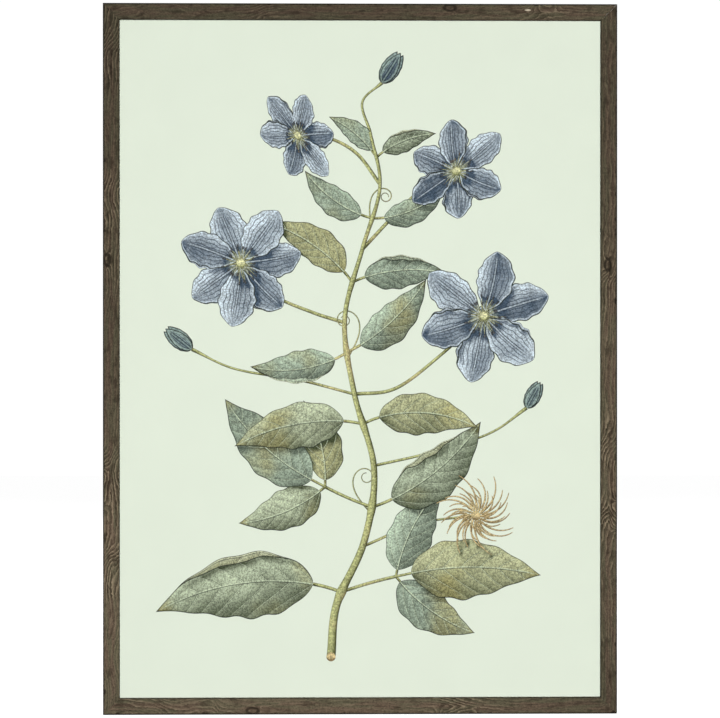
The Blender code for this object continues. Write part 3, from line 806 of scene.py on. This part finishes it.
class Plate:
    """Every shape of the plant, in the order in which the colours lie on each other."""

    SEED = 11

    # A grid of cells, larger than the sheet, keeps the highest layer at each place. Shadows reach some cells
    CELL = 1.0
    GRID = (520, 720)
    SHADOW_REACH = 7

    def __init__(self):
        self.parts = []
        self.random = np.random.default_rng(self.SEED)
        self.stem = path_through(STEM, STEM_ROWS)
        self.draw_stalks()
        self.draw_leaves()
        self.draw_stem()
        self.draw_seed_head()
        self.draw_buds()
        self.draw_flowers()
        self.stack()

    def seed(self):
        return float(self.random.random())

    def add(self, name, finish, shapes):
        self.parts.append((name, finish, shapes))

    def draw_stem(self):
        share = np.linspace(0, 1, STEM_ROWS)
        thick, thin = STEM_WIDTHS
        half = thick + (thin - thick) * share**0.8
        for node in sorted({leaf.at for leaf in LEAVES}):
            half = half + 0.24 * thick * (1.25 - node) * np.exp(-(((share - node) * 75) ** 2))
        self.add("print_stem", "stem", [band(self.stem, half, 9, 0.3)])
        self.add("print_stem_cut", "plume", [disc(self.stem[0], thick * 1.02, 0.42)])

    def draw_stalks(self):
        shapes = []
        for flower in FLOWERS:
            start, _ = place_on(self.stem, flower.at)
            shapes.append(stalk([start, *flower.route, flower.centre], 1.9, 1.4, self.seed()))
        for bud in [*BUDS, SEED_HEAD]:
            start, _ = place_on(self.stem, bud.at)
            shapes.append(stalk([start, *bud.route], 1.5, 1.0, self.seed(), swell=0.9))
        self.add("print_stalks", "stem", shapes)
        curls = []
        for tendril in TENDRILS:
            start, _ = place_on(self.stem, tendril.at)
            path = curved_path(start, tendril.heading, tendril.length, tendril.bend, TENDRIL_ROWS, ease=2.6)
            curls.append(band(path, np.linspace(0.9, 0.4, TENDRIL_ROWS), 3, self.seed()))
        self.add("print_tendrils", "stem", curls)

    def draw_leaves(self):
        for number, leaf in enumerate(LEAVES, start=1):
            root, _ = place_on(self.stem, leaf.at)
            name = f"print_leaf_{number:02d}"
            bend = leaf.bend * 0.3
            path = curved_path(root, leaf.heading - bend, leaf.stalk, bend, LEAF_STALK_ROWS)
            self.add(name + "_stalk", "stem", [band(path, 1.0 + leaf.width * 0.02, 5, self.seed())])
            turned = [(0, 1.0)] if leaf.leaflets == 1 else [(66, 0.74), (-62, 0.7), (0, 1.0)]
            for letter, (turn, scale) in zip("abc", turned):
                self.draw_leaflet(name + "_" + letter, leaf, path[-1], turn, scale)

    def draw_leaflet(self, name, leaf, root, turn, scale):
        seed = self.seed()
        heading = leaf.heading + turn
        bend = leaf.bend * scale if turn == 0 else -turn * 0.5
        if leaf.leaflets > 1:
            path = curved_path(root, heading, 16 if turn == 0 else 7, 0, LEAFLET_STALK_ROWS)
            self.add(name + "_stalk", "stem", [band(path, 1.3, 5, seed)])
            root = path[-1]
        length, width = leaf.length * scale, leaf.width * scale
        body = blade(LEAF_CUT, root, heading, length, width, bend, seed, leaf.narrow)
        self.add(name, "leaf", [body])
        if leaf.curl and turn == 0:
            self.add(name + "_curl", "underside", [edge_curl(body, leaf.narrow, leaf.curl, seed)])

    def draw_flowers(self):
        for number, flower in enumerate(FLOWERS, start=1):
            centre = np.array(flower.centre, float)
            petals = self.petals(flower, centre)
            filaments, anthers = self.stamens(flower, centre)
            styles = [disc(centre, 4.3, self.seed())]
            for ending, finish, shapes in (
                ("", "petal", petals),
                ("_filaments", "stamen", filaments),
                ("_anthers", "anther", anthers),
                ("_styles", "stamen", styles),
            ):
                for shape in shapes:
                    shape.squash(centre, flower.squash, flower.tilt)
                self.add(f"print_blossom_{number}{ending}", finish, shapes)

    def petals(self, flower, centre):
        shapes = [disc(centre, flower.radius * 0.15, 0.2)]
        for k in alternating(flower.petals):
            heading = flower.turn + 360 * k / flower.petals + (self.seed() - 0.5) * 12
            length = flower.radius * (0.86 + self.seed() * 0.1)
            width = flower.radius * 0.3
            bend = (self.seed() - 0.5) * 40
            root = centre + pointing(heading) * flower.radius * 0.06
            narrow = (0.8 + self.seed() * 0.2) * (1 if self.seed() < 0.5 else -1)
            petal = blade(PETAL_CUT, root, heading - bend / 2, length, width, bend, self.seed(), narrow)
            shapes.append(petal)
            if self.seed() < 0.55:
                shapes.append(edge_curl(petal, -narrow, 0.16, self.seed()))
        return shapes

    def stamens(self, flower, centre):
        filaments, anthers = [], []
        for k in alternating(FILAMENTS):
            heading = 360 * k / FILAMENTS + self.seed() * 5
            length = flower.radius * (0.1 + 0.14 * self.seed())
            bend = (self.seed() - 0.5) * 50
            path = curved_path(centre + pointing(heading) * 3.6, heading, length, bend, FILAMENT_ROWS)
            filaments.append(band(path, np.linspace(0.5, 0.34, FILAMENT_ROWS), 3, self.seed()))
            anthers.append(blade(ANTHER_CUT, path[-1], heading, flower.radius * 0.06, 0.95, 0, 0.5))
        return filaments, anthers

    def draw_buds(self):
        for number, bud in enumerate(BUDS, start=1):
            shapes = []
            for turn, share in ((16, 0.19), (-16, 0.19), (0, 0.22)):
                heading, width, bend = bud.heading + turn, bud.size * share, -turn * 1.3
                shapes.append(blade(BUD_CUT, bud.route[-1], heading, bud.size, width, bend, self.seed()))
            self.add(f"print_bud_{number}", "bud", shapes)

    def draw_seed_head(self):
        """Feathery plumes in three rings, each ring on top of the one outside it."""
        centre = np.array(SEED_HEAD.route[-1], float)
        plumes = []
        for ring, (count, start, length) in enumerate(PLUME_RINGS):
            for k in alternating(count):
                heading = 360 * k / count + self.seed() * 6 + ring * 11
                reach = length * (0.75 + 0.35 * self.seed())
                bend = 60 + 40 * self.seed()
                root = centre + pointing(heading) * start
                path = curved_path(root, heading, reach, bend, PLUME_ROWS)
                plumes.append(band(path, np.linspace(1.25, 0.35, PLUME_ROWS), 3, self.seed()))
        plumes.append(disc(centre, 4.6, 0.6))
        self.add("print_seed_head", "plume", plumes)

    def cells(self, points):
        """Grid cells that points lie in, as indices."""
        index = np.round(points / self.CELL).astype(int) + np.array(self.grid.shape) // 2
        return tuple(np.clip(index[..., axis], 0, self.grid.shape[axis] - 1) for axis in (0, 1))

    def stack(self):
        """Gives each shape the first layer above all that it covers, then shades what lies under others."""
        self.grid = np.zeros(self.GRID, int)
        for _, _, shapes in self.parts:
            for shape in shapes:
                cells = self.cells(shape.filled(self.CELL))
                shape.layer = int(self.grid[cells].max()) + 1
                self.grid[cells] = shape.layer
        for _, _, shapes in self.parts:
            for shape in shapes:
                for step in range(1, self.SHADOW_REACH + 1):
                    above = self.grid[self.cells(shape.points + LIGHT * step)] > shape.layer
                    shape.shade += above / self.SHADOW_REACH

    def layers(self):
        return max(shape.layer for _, _, shapes in self.parts for shape in shapes)


PLATE = Plate()


def facing_out(mesh):
    """Turns every face of a closed mesh outwards."""
    loose = bmesh.new()
    loose.from_mesh(mesh)
    bmesh.ops.recalc_face_normals(loose, faces=loose.faces)
    loose.to_mesh(mesh)
    loose.free()


# How much of its layer's height a film of ink fills
FILM_SHARE = 0.9


def ink_mesh(name, shapes, step):
    """Thin closed films, one for each shape, with the chart of each point kept as attributes."""
    places, charts, draws, shades, faces = [], [], [], [], []
    for shape in shapes:
        rows, columns = shape.points.shape[:2]
        start = sum(map(len, places))
        flat = shape.points.reshape(-1, 2) * MM
        front = SHEET_LOW.y - step * (shape.layer + 1)
        for depth in (front, front + step * FILM_SHARE):
            x = SHEET_CENTRE.x + flat[:, 0]
            z = SHEET_CENTRE.z + flat[:, 1]
            places.append(np.stack([x, np.full(len(flat), depth), z], axis=1))
            charts.append(shape.chart.reshape(-1, 3))
            draws.append(shape.draw.reshape(-1, 3))
            shades.append(shape.shade.ravel())
        index = start + np.arange(rows * columns).reshape(rows, columns)
        back = rows * columns
        corners = [index[:-1, :-1], index[:-1, 1:], index[1:, 1:], index[1:, :-1]]
        quads = np.stack(corners, axis=2).reshape(-1, 4)
        faces += quads.tolist() + (quads[:, ::-1] + back).tolist()
        rim = np.concatenate([index[0, :-1], index[:-1, -1], index[-1, :0:-1], index[:0:-1, 0]])
        after = np.roll(rim, -1)
        faces += np.stack([after, rim, rim + back, after + back], axis=1).tolist()
    mesh = bpy.data.meshes.new(name)
    mesh.from_pydata(np.concatenate(places), [], faces)
    for attribute, kind, key, values in (
        ("chart", "FLOAT_VECTOR", "vector", charts),
        ("draw", "FLOAT_VECTOR", "vector", draws),
        ("shade", "FLOAT", "value", shades),
    ):
        layer = mesh.attributes.new(attribute, kind, "POINT")
        layer.data.foreach_set(key, np.concatenate(values).astype(np.float32).ravel())
    facing_out(mesh)
    return mesh


# What each finish of the print is drawn with: its ink, and the plate's colours in the order of INK_COLOURS
INKS = {
    "leaf": ("Leaf Ink", "leaf_light leaf_deep leaf_warm leaf_cool line"),
    "underside": ("Leaf Ink", "under_light under_deep leaf_warm leaf_cool line"),
    "petal": ("Petal Ink", "petal_light petal_deep line leaf_light"),
    "bud": ("Petal Ink", "petal_back petal_deep line leaf_deep"),
    "stem": ("Stem Ink", "stem_light stem_deep tan_light line"),
    "plume": ("Stem Ink", "tan_light tan_deep stamen tan_deep"),
    "stamen": ("Stem Ink", "stamen stem_light stamen stem_deep"),
    "anther": ("Stem Ink", "anther line tan_deep line"),
}
VEINS = {"leaf": {"Veins": 7.0, "Vein Slant": 1.15}, "underside": {"Veins": 9.0, "Vein Slant": 0.6}}


def ink_material(finish):
    """Printed colour on matt paper."""
    made = bpy.data.materials.get("Ink " + finish)
    if made:
        return made
    group, colours = INKS[finish]
    material, tree, shader = new_material("Ink " + finish, roughness=0.75, specular=0.2)
    place = object_place(tree)
    inputs = {"Place": place, **VEINS.get(finish, {})}
    for attribute, output in (("chart", "Vector"), ("draw", "Vector"), ("shade", "Fac")):
        inputs[attribute.title()] = add_node(tree, "Attribute", attribute_name=attribute).outputs[output]
    for socket, name in zip(INK_COLOURS[group], colours.split(), strict=True):
        inputs[socket] = tuple(getattr(looks().plate, name))
    colour = use_group(tree, group, inputs)["Colour"]
    grained = use_group(tree, "Print Grain", {"Place": place, "Colour": colour})["Colour"]
    plug(tree, grained, shader.inputs["Base Color"])
    return material


def draw_parts(start):
    """Makes the pieces of the print whose names start in a given way."""
    made = [part for part in PLATE.parts if part[0].startswith(start)]
    if not made:
        raise RuntimeError("the plate has no part named " + start)
    if (PLATE.layers() + 2) * looks().plate.film > INK_ROOM:
        raise RuntimeError("the layers of ink don't fit behind the glass")
    for name, finish, shapes in made:
        piece = add_object(name, ink_mesh(name, shapes, looks().plate.film))
        piece.data.materials.append(ink_material(finish))
        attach(piece, "root")


def finish_nodes(material, *starts):
    """Gives a material to every CAD node whose name starts in one of the given ways."""
    found = [node for name, node in frame["nodes"].items() if name.startswith(starts)]
    if not found:
        raise RuntimeError(f"the model has no node named {starts}")
    for node in found:
        node.data.materials.clear()
        node.data.materials.append(material)


class PRINT_OT_shared_effects(bpy.types.Operator):
    """Build the node groups that the finishes share."""

    bl_idname = "framed_print.shared_effects"
    bl_label = "Shared Effects"

    def execute(self, context):
        for build in GROUPS:
            build()
        return {"FINISHED"}


# Each rail: the way along it, its outer edge, and where its knot and its nick are, in millimetres from the
# middle of the rail and from its outer edge. Tone, lines, sweep and fold are pairs: the share of the way
# along, from the left or from the top, and how light the stain is, how plain the rings are, how far they have
# moved across the face in millimetres, or how far they fold
FAR_OFF = 5000.0
SWEEP_SPAN = 100.0
TONE_SPAN = 2.0
Rail = namedtuple("Rail", "name along across outer seed knot nick tone lines sweep fold")
RAILS = [
    Rail(
        "rail_top", "X", "Z", RAIL_HIGH.z, 0.31, (91, 4.2), (170.5, 6.4),
        [(0, 0.76), (0.6, 0.74), (0.85, 0.91), (1, 0.87)],
        [(0, 0.3), (0.26, 0.3), (0.3, 0.6), (0.38, 0.3), (0.6, 0.25),
         (0.82, 0.4), (0.88, 0.75), (0.92, 0.3), (1, 0.3)],
        [(0, 0), (0.06, 4), (0.1, 9), (0.2, 6), (0.28, 8),
         (0.34, 18), (0.5, 15), (0.8, 16), (0.88, 24), (1, 22)],
        [(0, 0), (0.82, 0), (0.86, 0.8), (0.9, 0), (1, 0)],
    ),
    Rail(
        "rail_bottom", "X", "Z", SIDE_LOW.z, 1.72, (-110, 4.0), (FAR_OFF, 0),
        [(0, 0.99), (0.2, 1.16), (0.7, 1.07), (1, 0.83)],
        [(0, 0.3), (0.1, 0.6), (0.25, 0.5), (0.3, 0.3), (0.6, 0.3),
         (0.7, 0.8), (0.78, 0.4), (0.9, 0.2), (1, 0.3)],
        [(0, 0), (0.09, 0), (0.14, 11), (0.21, 9), (0.23, 16),
         (0.5, 12), (0.64, 14), (0.74, 27), (1, 24)],
        [(0, 0), (0.63, 0), (0.69, 0.9), (0.75, 0), (1, 0)],
    ),
    Rail(
        "rail_left", "Z", "X", SIDE_LOW.x, 2.43, (101, 4.5), (FAR_OFF, 0),
        [(0, 0.65), (0.2, 0.73), (0.3, 0.87), (0.42, 0.78), (0.6, 0.91), (0.8, 1.22), (1, 1.0)],
        [(0, 0.3), (0.03, 0.9), (0.1, 0.9), (0.14, 0.3), (0.22, 0.4),
         (0.27, 0.9), (0.38, 0.8), (0.44, 0.3), (0.6, 0.3), (0.66, 0.9),
         (0.72, 0.8), (0.76, 1.0), (0.82, 1.0), (0.86, 0.4), (1, 0.4)],
        [(0, 0), (0.03, 0), (0.08, 18), (0.24, 20), (0.27, 26), (0.3, 22),
         (0.5, 26), (0.62, 28), (0.655, 40), (0.69, 34), (0.75, 36),
         (0.805, 58), (0.88, 60), (0.92, 66), (0.96, 60), (1, 60)],
        [(0, 0), (0.64, 0), (0.665, 1), (0.69, 1), (0.72, 0), (1, 0)],
    ),
    Rail(
        "rail_right", "Z", "X", -SIDE_LOW.x, 3.55, (96, 9.7), (FAR_OFF, 0),
        [(0, 0.7), (0.25, 0.77), (0.4, 0.96), (0.6, 1.05), (0.8, 1.0), (1, 0.73)],
        [(0, 0.4), (0.32, 0.45), (0.36, 0.85), (0.41, 0.95), (0.46, 0.5),
         (0.57, 0.5), (0.6, 1.0), (0.65, 1.0), (0.67, 0.5), (0.7, 1.0),
         (0.75, 0.8), (0.8, 0.45), (1, 0.45)],
        [(0, 84), (0.2, 82), (0.37, 78), (0.4, 66), (0.5, 62),
         (0.59, 60), (0.65, 42), (0.7, 40), (0.74, 26), (1, 22)],
        [(0, 0), (0.69, 0), (0.71, 1), (0.73, 1), (0.75, 0), (1, 0)],
    ),
]


class PRINT_OT_rails(bpy.types.Operator):
    """Stain the four rails, each with the grain along it."""

    bl_idname = "framed_print.rails"
    bl_label = "Stained Rails"

    def execute(self, context):
        for rail in RAILS:
            self.stain(rail)
        return {"FINISHED"}

    def stain(self, rail):
        wood = looks().frame
        material, tree, shader = new_material("Stained wood " + rail.name, specular=0.3)
        x, y, z = separate(tree, object_place(tree))
        places = {"X": x, "Z": z - SHEET_CENTRE.z}
        outer = rail.outer - (SHEET_CENTRE.z if rail.across == "Z" else 0)
        across = outer - places[rail.across] if outer > 0 else places[rail.across] - outer
        along = places[rail.along]
        length = (RAIL_HIGH.x - RAIL_LOW.x) if rail.along == "X" else (SIDE_HIGH.z - SIDE_LOW.z)
        share = along / length + 0.5 if rail.along == "X" else 0.5 - along / length
        inputs = {
            "Along": along,
            "Across": across,
            "Depth": y - FRONT,
            "Seed": rail.seed,
            "Sweep": drawn_curve(tree, share, rail.sweep, SWEEP_SPAN) * MM,
            "Fold": drawn_curve(tree, share, rail.fold),
            "Tone": drawn_curve(tree, share, rail.tone, TONE_SPAN),
            "Lines": drawn_curve(tree, share, rail.lines),
            "Knot Along": rail.knot[0] * MM,
            "Knot Across": rail.knot[1] * MM,
            "Nick Along": rail.nick[0] * MM,
            "Nick Across": rail.nick[1] * MM,
            "Ring Width": wood.ring_width,
            "Arris Width": wood.arris_width,
            "Face Width": RAIL_HIGH.z - RAIL_LOW.z,
        }
        for name in WOOD_COLOURS:
            inputs[name] = tuple(getattr(wood, name.lower()))
        dress(tree, shader, use_group(tree, "Stained Wood", inputs), wood.relief)
        finish_nodes(material, rail.name)


# The glued faces of a mitre, in millimetres: how far in from the outer corner, and how far back from the
# front. They stop short of the nail that crosses the joint
GLUE_OUTLINE = [(0.6, 0.5), (16.4, 0.5), (16.4, 5.0), (10.6, 5.0)]
GLUE_OUTLINE += [(10.6, 15.4), (4.6, 15.4), (4.6, 7.0), (0.6, 7.0)]
GLUE_THICK = 0.08


class PRINT_OT_glue(bpy.types.Operator):
    """Fill the hairline of each mitre with a film of glue."""

    bl_idname = "framed_print.glue"
    bl_label = "Mitre Glue"

    def execute(self, context):
        arris = tuple(looks().frame.arris)
        material, tree, shader = new_material("Stained glue", roughness=0.6, specular=0.3)
        lumps = noise(tree, object_place(tree), 900, 2)
        plug(tree, mix(tree, lumps, brighten(tree, arris, 0.7), arris), shader.inputs["Base Color"])
        for upright, z_side in (("bottom", -1), ("top", 1)):
            for side, x_side in (("left", -1), ("right", 1)):
                piece = self.film(f"glue_{upright}_{side}", x_side, z_side)
                piece.data.materials.append(material)
                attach(piece, "root")
        return {"FINISHED"}

    def film(self, name, x_side, z_side):
        places = []
        for way in (1, -1):
            shift = way * GLUE_THICK / 2 * math.sqrt(0.5) * MM
            for inward, back in GLUE_OUTLINE:
                x = x_side * (RAIL_HIGH.x - inward * MM + shift)
                z = SHEET_CENTRE.z + z_side * (RAIL_HIGH.z - SHEET_CENTRE.z - inward * MM - shift)
                places.append((x, FRONT + back * MM, z))
        count = len(GLUE_OUTLINE)
        faces = [tuple(range(count)), tuple(range(2 * count - 1, count - 1, -1))]
        for k in range(count):
            after = (k + 1) % count
            faces.append((after, k, k + count, after + count))
        mesh = bpy.data.meshes.new(name)
        mesh.from_pydata(places, [], faces)
        facing_out(mesh)
        return add_object(name, mesh)


# Glass that mirrors little, with a trace of green
GLASS_INDEX = 1.15
GLASS_THROUGH = (0.994, 0.999, 0.996)
GLASS_MIRRORED = (0.95, 0.98, 0.96)


class PRINT_OT_glazing(bpy.types.Operator):
    """Make the pane clear, with a faint reflection that grows at low angles."""

    bl_idname = "framed_print.glazing"
    bl_label = "Glazing"

    def execute(self, context):
        material, tree, shader = new_material("Clear glass", roughness=0.03, metallic=1.0)
        shader.inputs["Base Color"].default_value = (*GLASS_MIRRORED, 1)
        clear = add_node(tree, "BsdfTransparent", {"Color": GLASS_THROUGH})
        gloss = Value(tree, add_node(tree, "Fresnel", {"IOR": GLASS_INDEX}).outputs[0])
        inside = Value(tree, add_node(tree, "NewGeometry").outputs["Backfacing"])
        sides = {0: gloss * (1 - inside), 1: clear.outputs[0], 2: shader.outputs[0]}
        both = add_node(tree, "MixShader", sides)
        plug(tree, both.outputs[0], tree.nodes["Material Output"].inputs["Surface"])
        finish_nodes(material, "glazing")
        return {"FINISHED"}


# What is pressed from fibres: how many there are to a metre, how much they show, and how high they stand
Pressed = namedtuple("Pressed", "scale strength tooth")
PAPER = Pressed(900.0, 0.08, 0.01 * MM)
CARD = Pressed(620.0, 0.5, 0.05 * MM)
BOARD = Pressed(1250.0, 0.5, 0.05 * MM)


def finish_pressed(name, node, pressed, colour, fibre, **settings):
    """Gives paper, card or board its fibres."""
    material, tree, shader = new_material(name, **settings)
    inputs = {"Place": object_place(tree), "Scale": pressed.scale, "Strength": pressed.strength}
    inputs.update({"Colour": tuple(colour), "Fibre": tuple(fibre)})
    dress(tree, shader, use_group(tree, "Pressed Fibre", inputs), pressed.tooth)
    finish_nodes(material, node)


class PRINT_OT_paper(bpy.types.Operator):
    """Give the sheet its pale green, with a faint tooth."""

    bl_idname = "framed_print.paper"
    bl_label = "Paper"

    def execute(self, context):
        paper = looks().plate.paper
        darker = [value * 0.9 for value in paper]
        finish_pressed("Plate paper", "print_sheet", PAPER, paper, darker, roughness=0.85, specular=0.2)
        return {"FINISHED"}


class PRINT_OT_stems(bpy.types.Operator):
    """Draw the stem, the stalks of flowers and buds, and the tendrils."""

    bl_idname = "framed_print.stems"
    bl_label = "Stems"

    def execute(self, context):
        for start in ("print_stem", "print_stalks", "print_tendrils"):
            draw_parts(start)
        return {"FINISHED"}


class PRINT_OT_leaves(bpy.types.Operator):
    """Draw the leaves with their stalks and turned edges."""

    bl_idname = "framed_print.leaves"
    bl_label = "Leaves"

    def execute(self, context):
        draw_parts("print_leaf")
        return {"FINISHED"}


class PRINT_OT_blossoms(bpy.types.Operator):
    """Draw the open flowers and the buds."""

    bl_idname = "framed_print.blossoms"
    bl_label = "Blossoms"

    def execute(self, context):
        draw_parts("print_blossom")
        draw_parts("print_bud")
        return {"FINISHED"}


class PRINT_OT_seed_head(bpy.types.Operator):
    """Draw the plumed seed head at the foot of the sheet."""

    bl_idname = "framed_print.seed_head"
    bl_label = "Seed Head"

    def execute(self, context):
        draw_parts("print_seed_head")
        return {"FINISHED"}


class PRINT_OT_boards(bpy.types.Operator):
    """Finish the filler card and the fibreboard back."""

    bl_idname = "framed_print.boards"
    bl_label = "Boards"

    def execute(self, context):
        back = looks().back
        finish_pressed("Board filler_board", "filler_board", CARD, back.card, back.fibre, roughness=0.8)
        finish_pressed("Board backing_board", "backing_board", BOARD, back.board, back.fibre, roughness=0.8)
        return {"FINISHED"}


STEEL_SCRATCHES = 0.02 * MM
RUBBER_GRAIN = 0.03 * MM


class PRINT_OT_fittings(bpy.types.Operator):
    """Plate the turn buttons, screws, hangers and nails, and finish the bumpers."""

    bl_idname = "framed_print.fittings"
    bl_label = "Fittings"

    def execute(self, context):
        back = looks().back
        material, tree, shader = new_material("Zinc plate", metallic=1.0)
        steel = {"Place": object_place(tree), "Colour": tuple(back.steel)}
        dress(tree, shader, use_group(tree, "Plated Steel", steel), STEEL_SCRATCHES)
        finish_nodes(material, "turn_button", "screw", "hanger", "mitre_nail")

        material, tree, shader = new_material("Clear rubber", roughness=0.42)
        dust = noise(tree, object_place(tree), 600, 3, 0.7)
        rubber = tuple(back.rubber)
        darker = tuple(value * 0.72 for value in rubber)
        dusted = mix(tree, dust.rise(0.35, 0.75), rubber, darker)
        dress(tree, shader, {"Colour": dusted, "Height": dust}, RUBBER_GRAIN)
        finish_nodes(material, "bumper")
        return {"FINISHED"}


# The camera's place, fitted to the four corners of the frame in the photograph: distance in metres, turn and
# rise about the frame in degrees, the length of its lens in pixels of the picture, and how far its aim lies
# from the middle
PICTURE_WIDTH = 720
SENSOR = 36.0
CAMERA_DISTANCE = 3.2
CAMERA_TURN = -1.39
CAMERA_RISE = 0.19
LENS_PIXELS = 3142.6
CAMERA_AIM = (-0.57 * MM, 0.05 * MM)
BACKDROP = 1.02  # as bright as the white behind the frame

# Turn is in degrees about the print from the camera's side, and the sizes are in metres
Softbox = namedtuple("Softbox", "turn rise power width height mirrored")


def look_from(thing, target, way, distance):
    """Puts a lamp or the camera some way off its target, facing it."""
    thing.location = target + way * distance
    thing.rotation_euler = (-way).to_track_quat("-Z", "Y").to_euler()


class PRINT_OT_stage(bpy.types.Operator):
    """Set up the pale floor, the softboxes, the fill light and the camera."""

    bl_idname = "framed_print.stage"
    bl_label = "Stage"

    def execute(self, context):
        self.make_floor(looks().stage)
        self.make_lights(looks().stage)
        self.make_sky(looks().stage)
        self.make_camera()
        return {"FINISHED"}

    def make_floor(self, stage):
        half = stage.floor_size / 2
        low = CAD_BOX[0].z
        mesh = bpy.data.meshes.new("floor")
        corners = [(-half, -half, low), (half, -half, low), (half, half, low), (-half, half, low)]
        mesh.from_pydata(corners, [], [(0, 1, 2, 3)])
        floor = add_object("floor", mesh)
        material, tree, shader = new_material("Pale floor", roughness=0.7)
        shader.inputs["Base Color"].default_value = (*stage.floor, 1)
        shader.inputs["Emission Color"].default_value = (1, 1, 1, 1)
        seen = Value(tree, add_node(tree, "LightPath").outputs["Is Camera Ray"])
        plug(tree, seen * stage.floor_glow, shader.inputs["Emission Strength"])
        mesh.materials.append(material)
        floor.visible_diffuse = False
        floor.visible_glossy = False

    def make_lights(self, stage):
        """A softbox at the camera, which the glass doesn't mirror, two at the sides and two behind."""
        boxes = [Softbox(0, 0, stage.front_power, 0.35, 0.35, False)]
        boxes += [Softbox(turn, 0.1, stage.side_power, 0.9, 1.5, True) for turn in (-38, 38)]
        boxes += [Softbox(turn, 0.3, stage.back_power, 1.2, 1.5, True) for turn in (-145, 145)]
        for box in boxes:
            lamp = bpy.data.lights.new("softbox", "AREA")
            lamp.shape = "RECTANGLE"
            lamp.size = box.width
            lamp.size_y = box.height
            lamp.energy = box.power
            angle = math.radians(box.turn)
            way = Vector((math.sin(angle), -math.cos(angle), box.rise)).normalized()
            hung = add_object("softbox", lamp)
            hung.visible_glossy = box.mirrored
            look_from(hung, Vector((0, FRONT, SHEET_CENTRE.z)), way, stage.lamp_distance)

    def make_sky(self, stage):
        """White where the camera looks past the frame, and a weaker fill for everything else."""
        world = bpy.data.worlds.new("Studio")
        bpy.context.scene.world = world
        world.use_nodes = True
        tree = world.node_tree
        paths = add_node(tree, "LightPath").outputs
        seen = Value(tree, paths["Is Camera Ray"]) * (BACKDROP - stage.sky)
        mirrored = Value(tree, paths["Is Glossy Ray"]) * (stage.mirrored_sky - stage.sky)
        background = tree.nodes["Background"]
        background.inputs["Color"].default_value = (1, 1, 1, 1)
        plug(tree, seen + mirrored + stage.sky, background.inputs["Strength"])

    def make_camera(self):
        camera = bpy.data.cameras.new("Camera")
        camera.sensor_width = SENSOR
        camera.lens = SENSOR * LENS_PIXELS / PICTURE_WIDTH
        turn, rise = math.radians(CAMERA_TURN), math.radians(CAMERA_RISE)
        way = Vector((math.sin(turn) * math.cos(rise), -math.cos(turn) * math.cos(rise), math.sin(rise)))
        aim = Vector((CAMERA_AIM[0], FRONT, SHEET_CENTRE.z + CAMERA_AIM[1]))
        eye = add_object("Camera", camera)
        look_from(eye, aim, way, CAMERA_DISTANCE)
        bpy.context.scene.camera = eye
        bpy.context.scene.view_settings.view_transform = "Standard"


class FramedPrint(bpy.types.PropertyGroup):
    """All the settings of the framed print."""

    frame: bpy.props.PointerProperty(type=FrameLooks)
    plate: bpy.props.PointerProperty(type=PlateLooks)
    back: bpy.props.PointerProperty(type=BackLooks)
    stage: bpy.props.PointerProperty(type=StageLooks)


STEPS = [
    PRINT_OT_shared_effects,
    PRINT_OT_stage,
    PRINT_OT_rails,
    PRINT_OT_glue,
    PRINT_OT_glazing,
    PRINT_OT_paper,
    PRINT_OT_stems,
    PRINT_OT_leaves,
    PRINT_OT_blossoms,
    PRINT_OT_seed_head,
    PRINT_OT_boards,
    PRINT_OT_fittings,
]


class PRINT_PT_panel(bpy.types.Panel):
    """The steps that dress the framed print, and its settings."""

    bl_label = "Framed Print"
    bl_idname = "PRINT_PT_panel"
    bl_space_type = "VIEW_3D"
    bl_region_type = "UI"
    bl_category = "Framed Print"

    def draw(self, context):
        for step in STEPS:
            self.layout.operator(step.bl_idname)
        for name in ("frame", "plate", "back", "stage"):
            box = self.layout.box()
            box.label(text=name.title())
            settings = getattr(context.scene.framed_print, name)
            for key in settings.__annotations__:
                box.prop(settings, key)


CLASSES = [FrameLooks, PlateLooks, BackLooks, StageLooks, FramedPrint, *STEPS, PRINT_PT_panel]


def register():
    for made in CLASSES:
        bpy.utils.register_class(made)
    bpy.types.Scene.framed_print = bpy.props.PointerProperty(type=FramedPrint)


def unregister():
    del bpy.types.Scene.framed_print
    for made in reversed(CLASSES):
        bpy.utils.unregister_class(made)


def main():
    register()
    for step in STEPS:
        family, name = step.bl_idname.split(".")
        getattr(getattr(bpy.ops, family), name)()


if __name__ == "__main__":
    main()
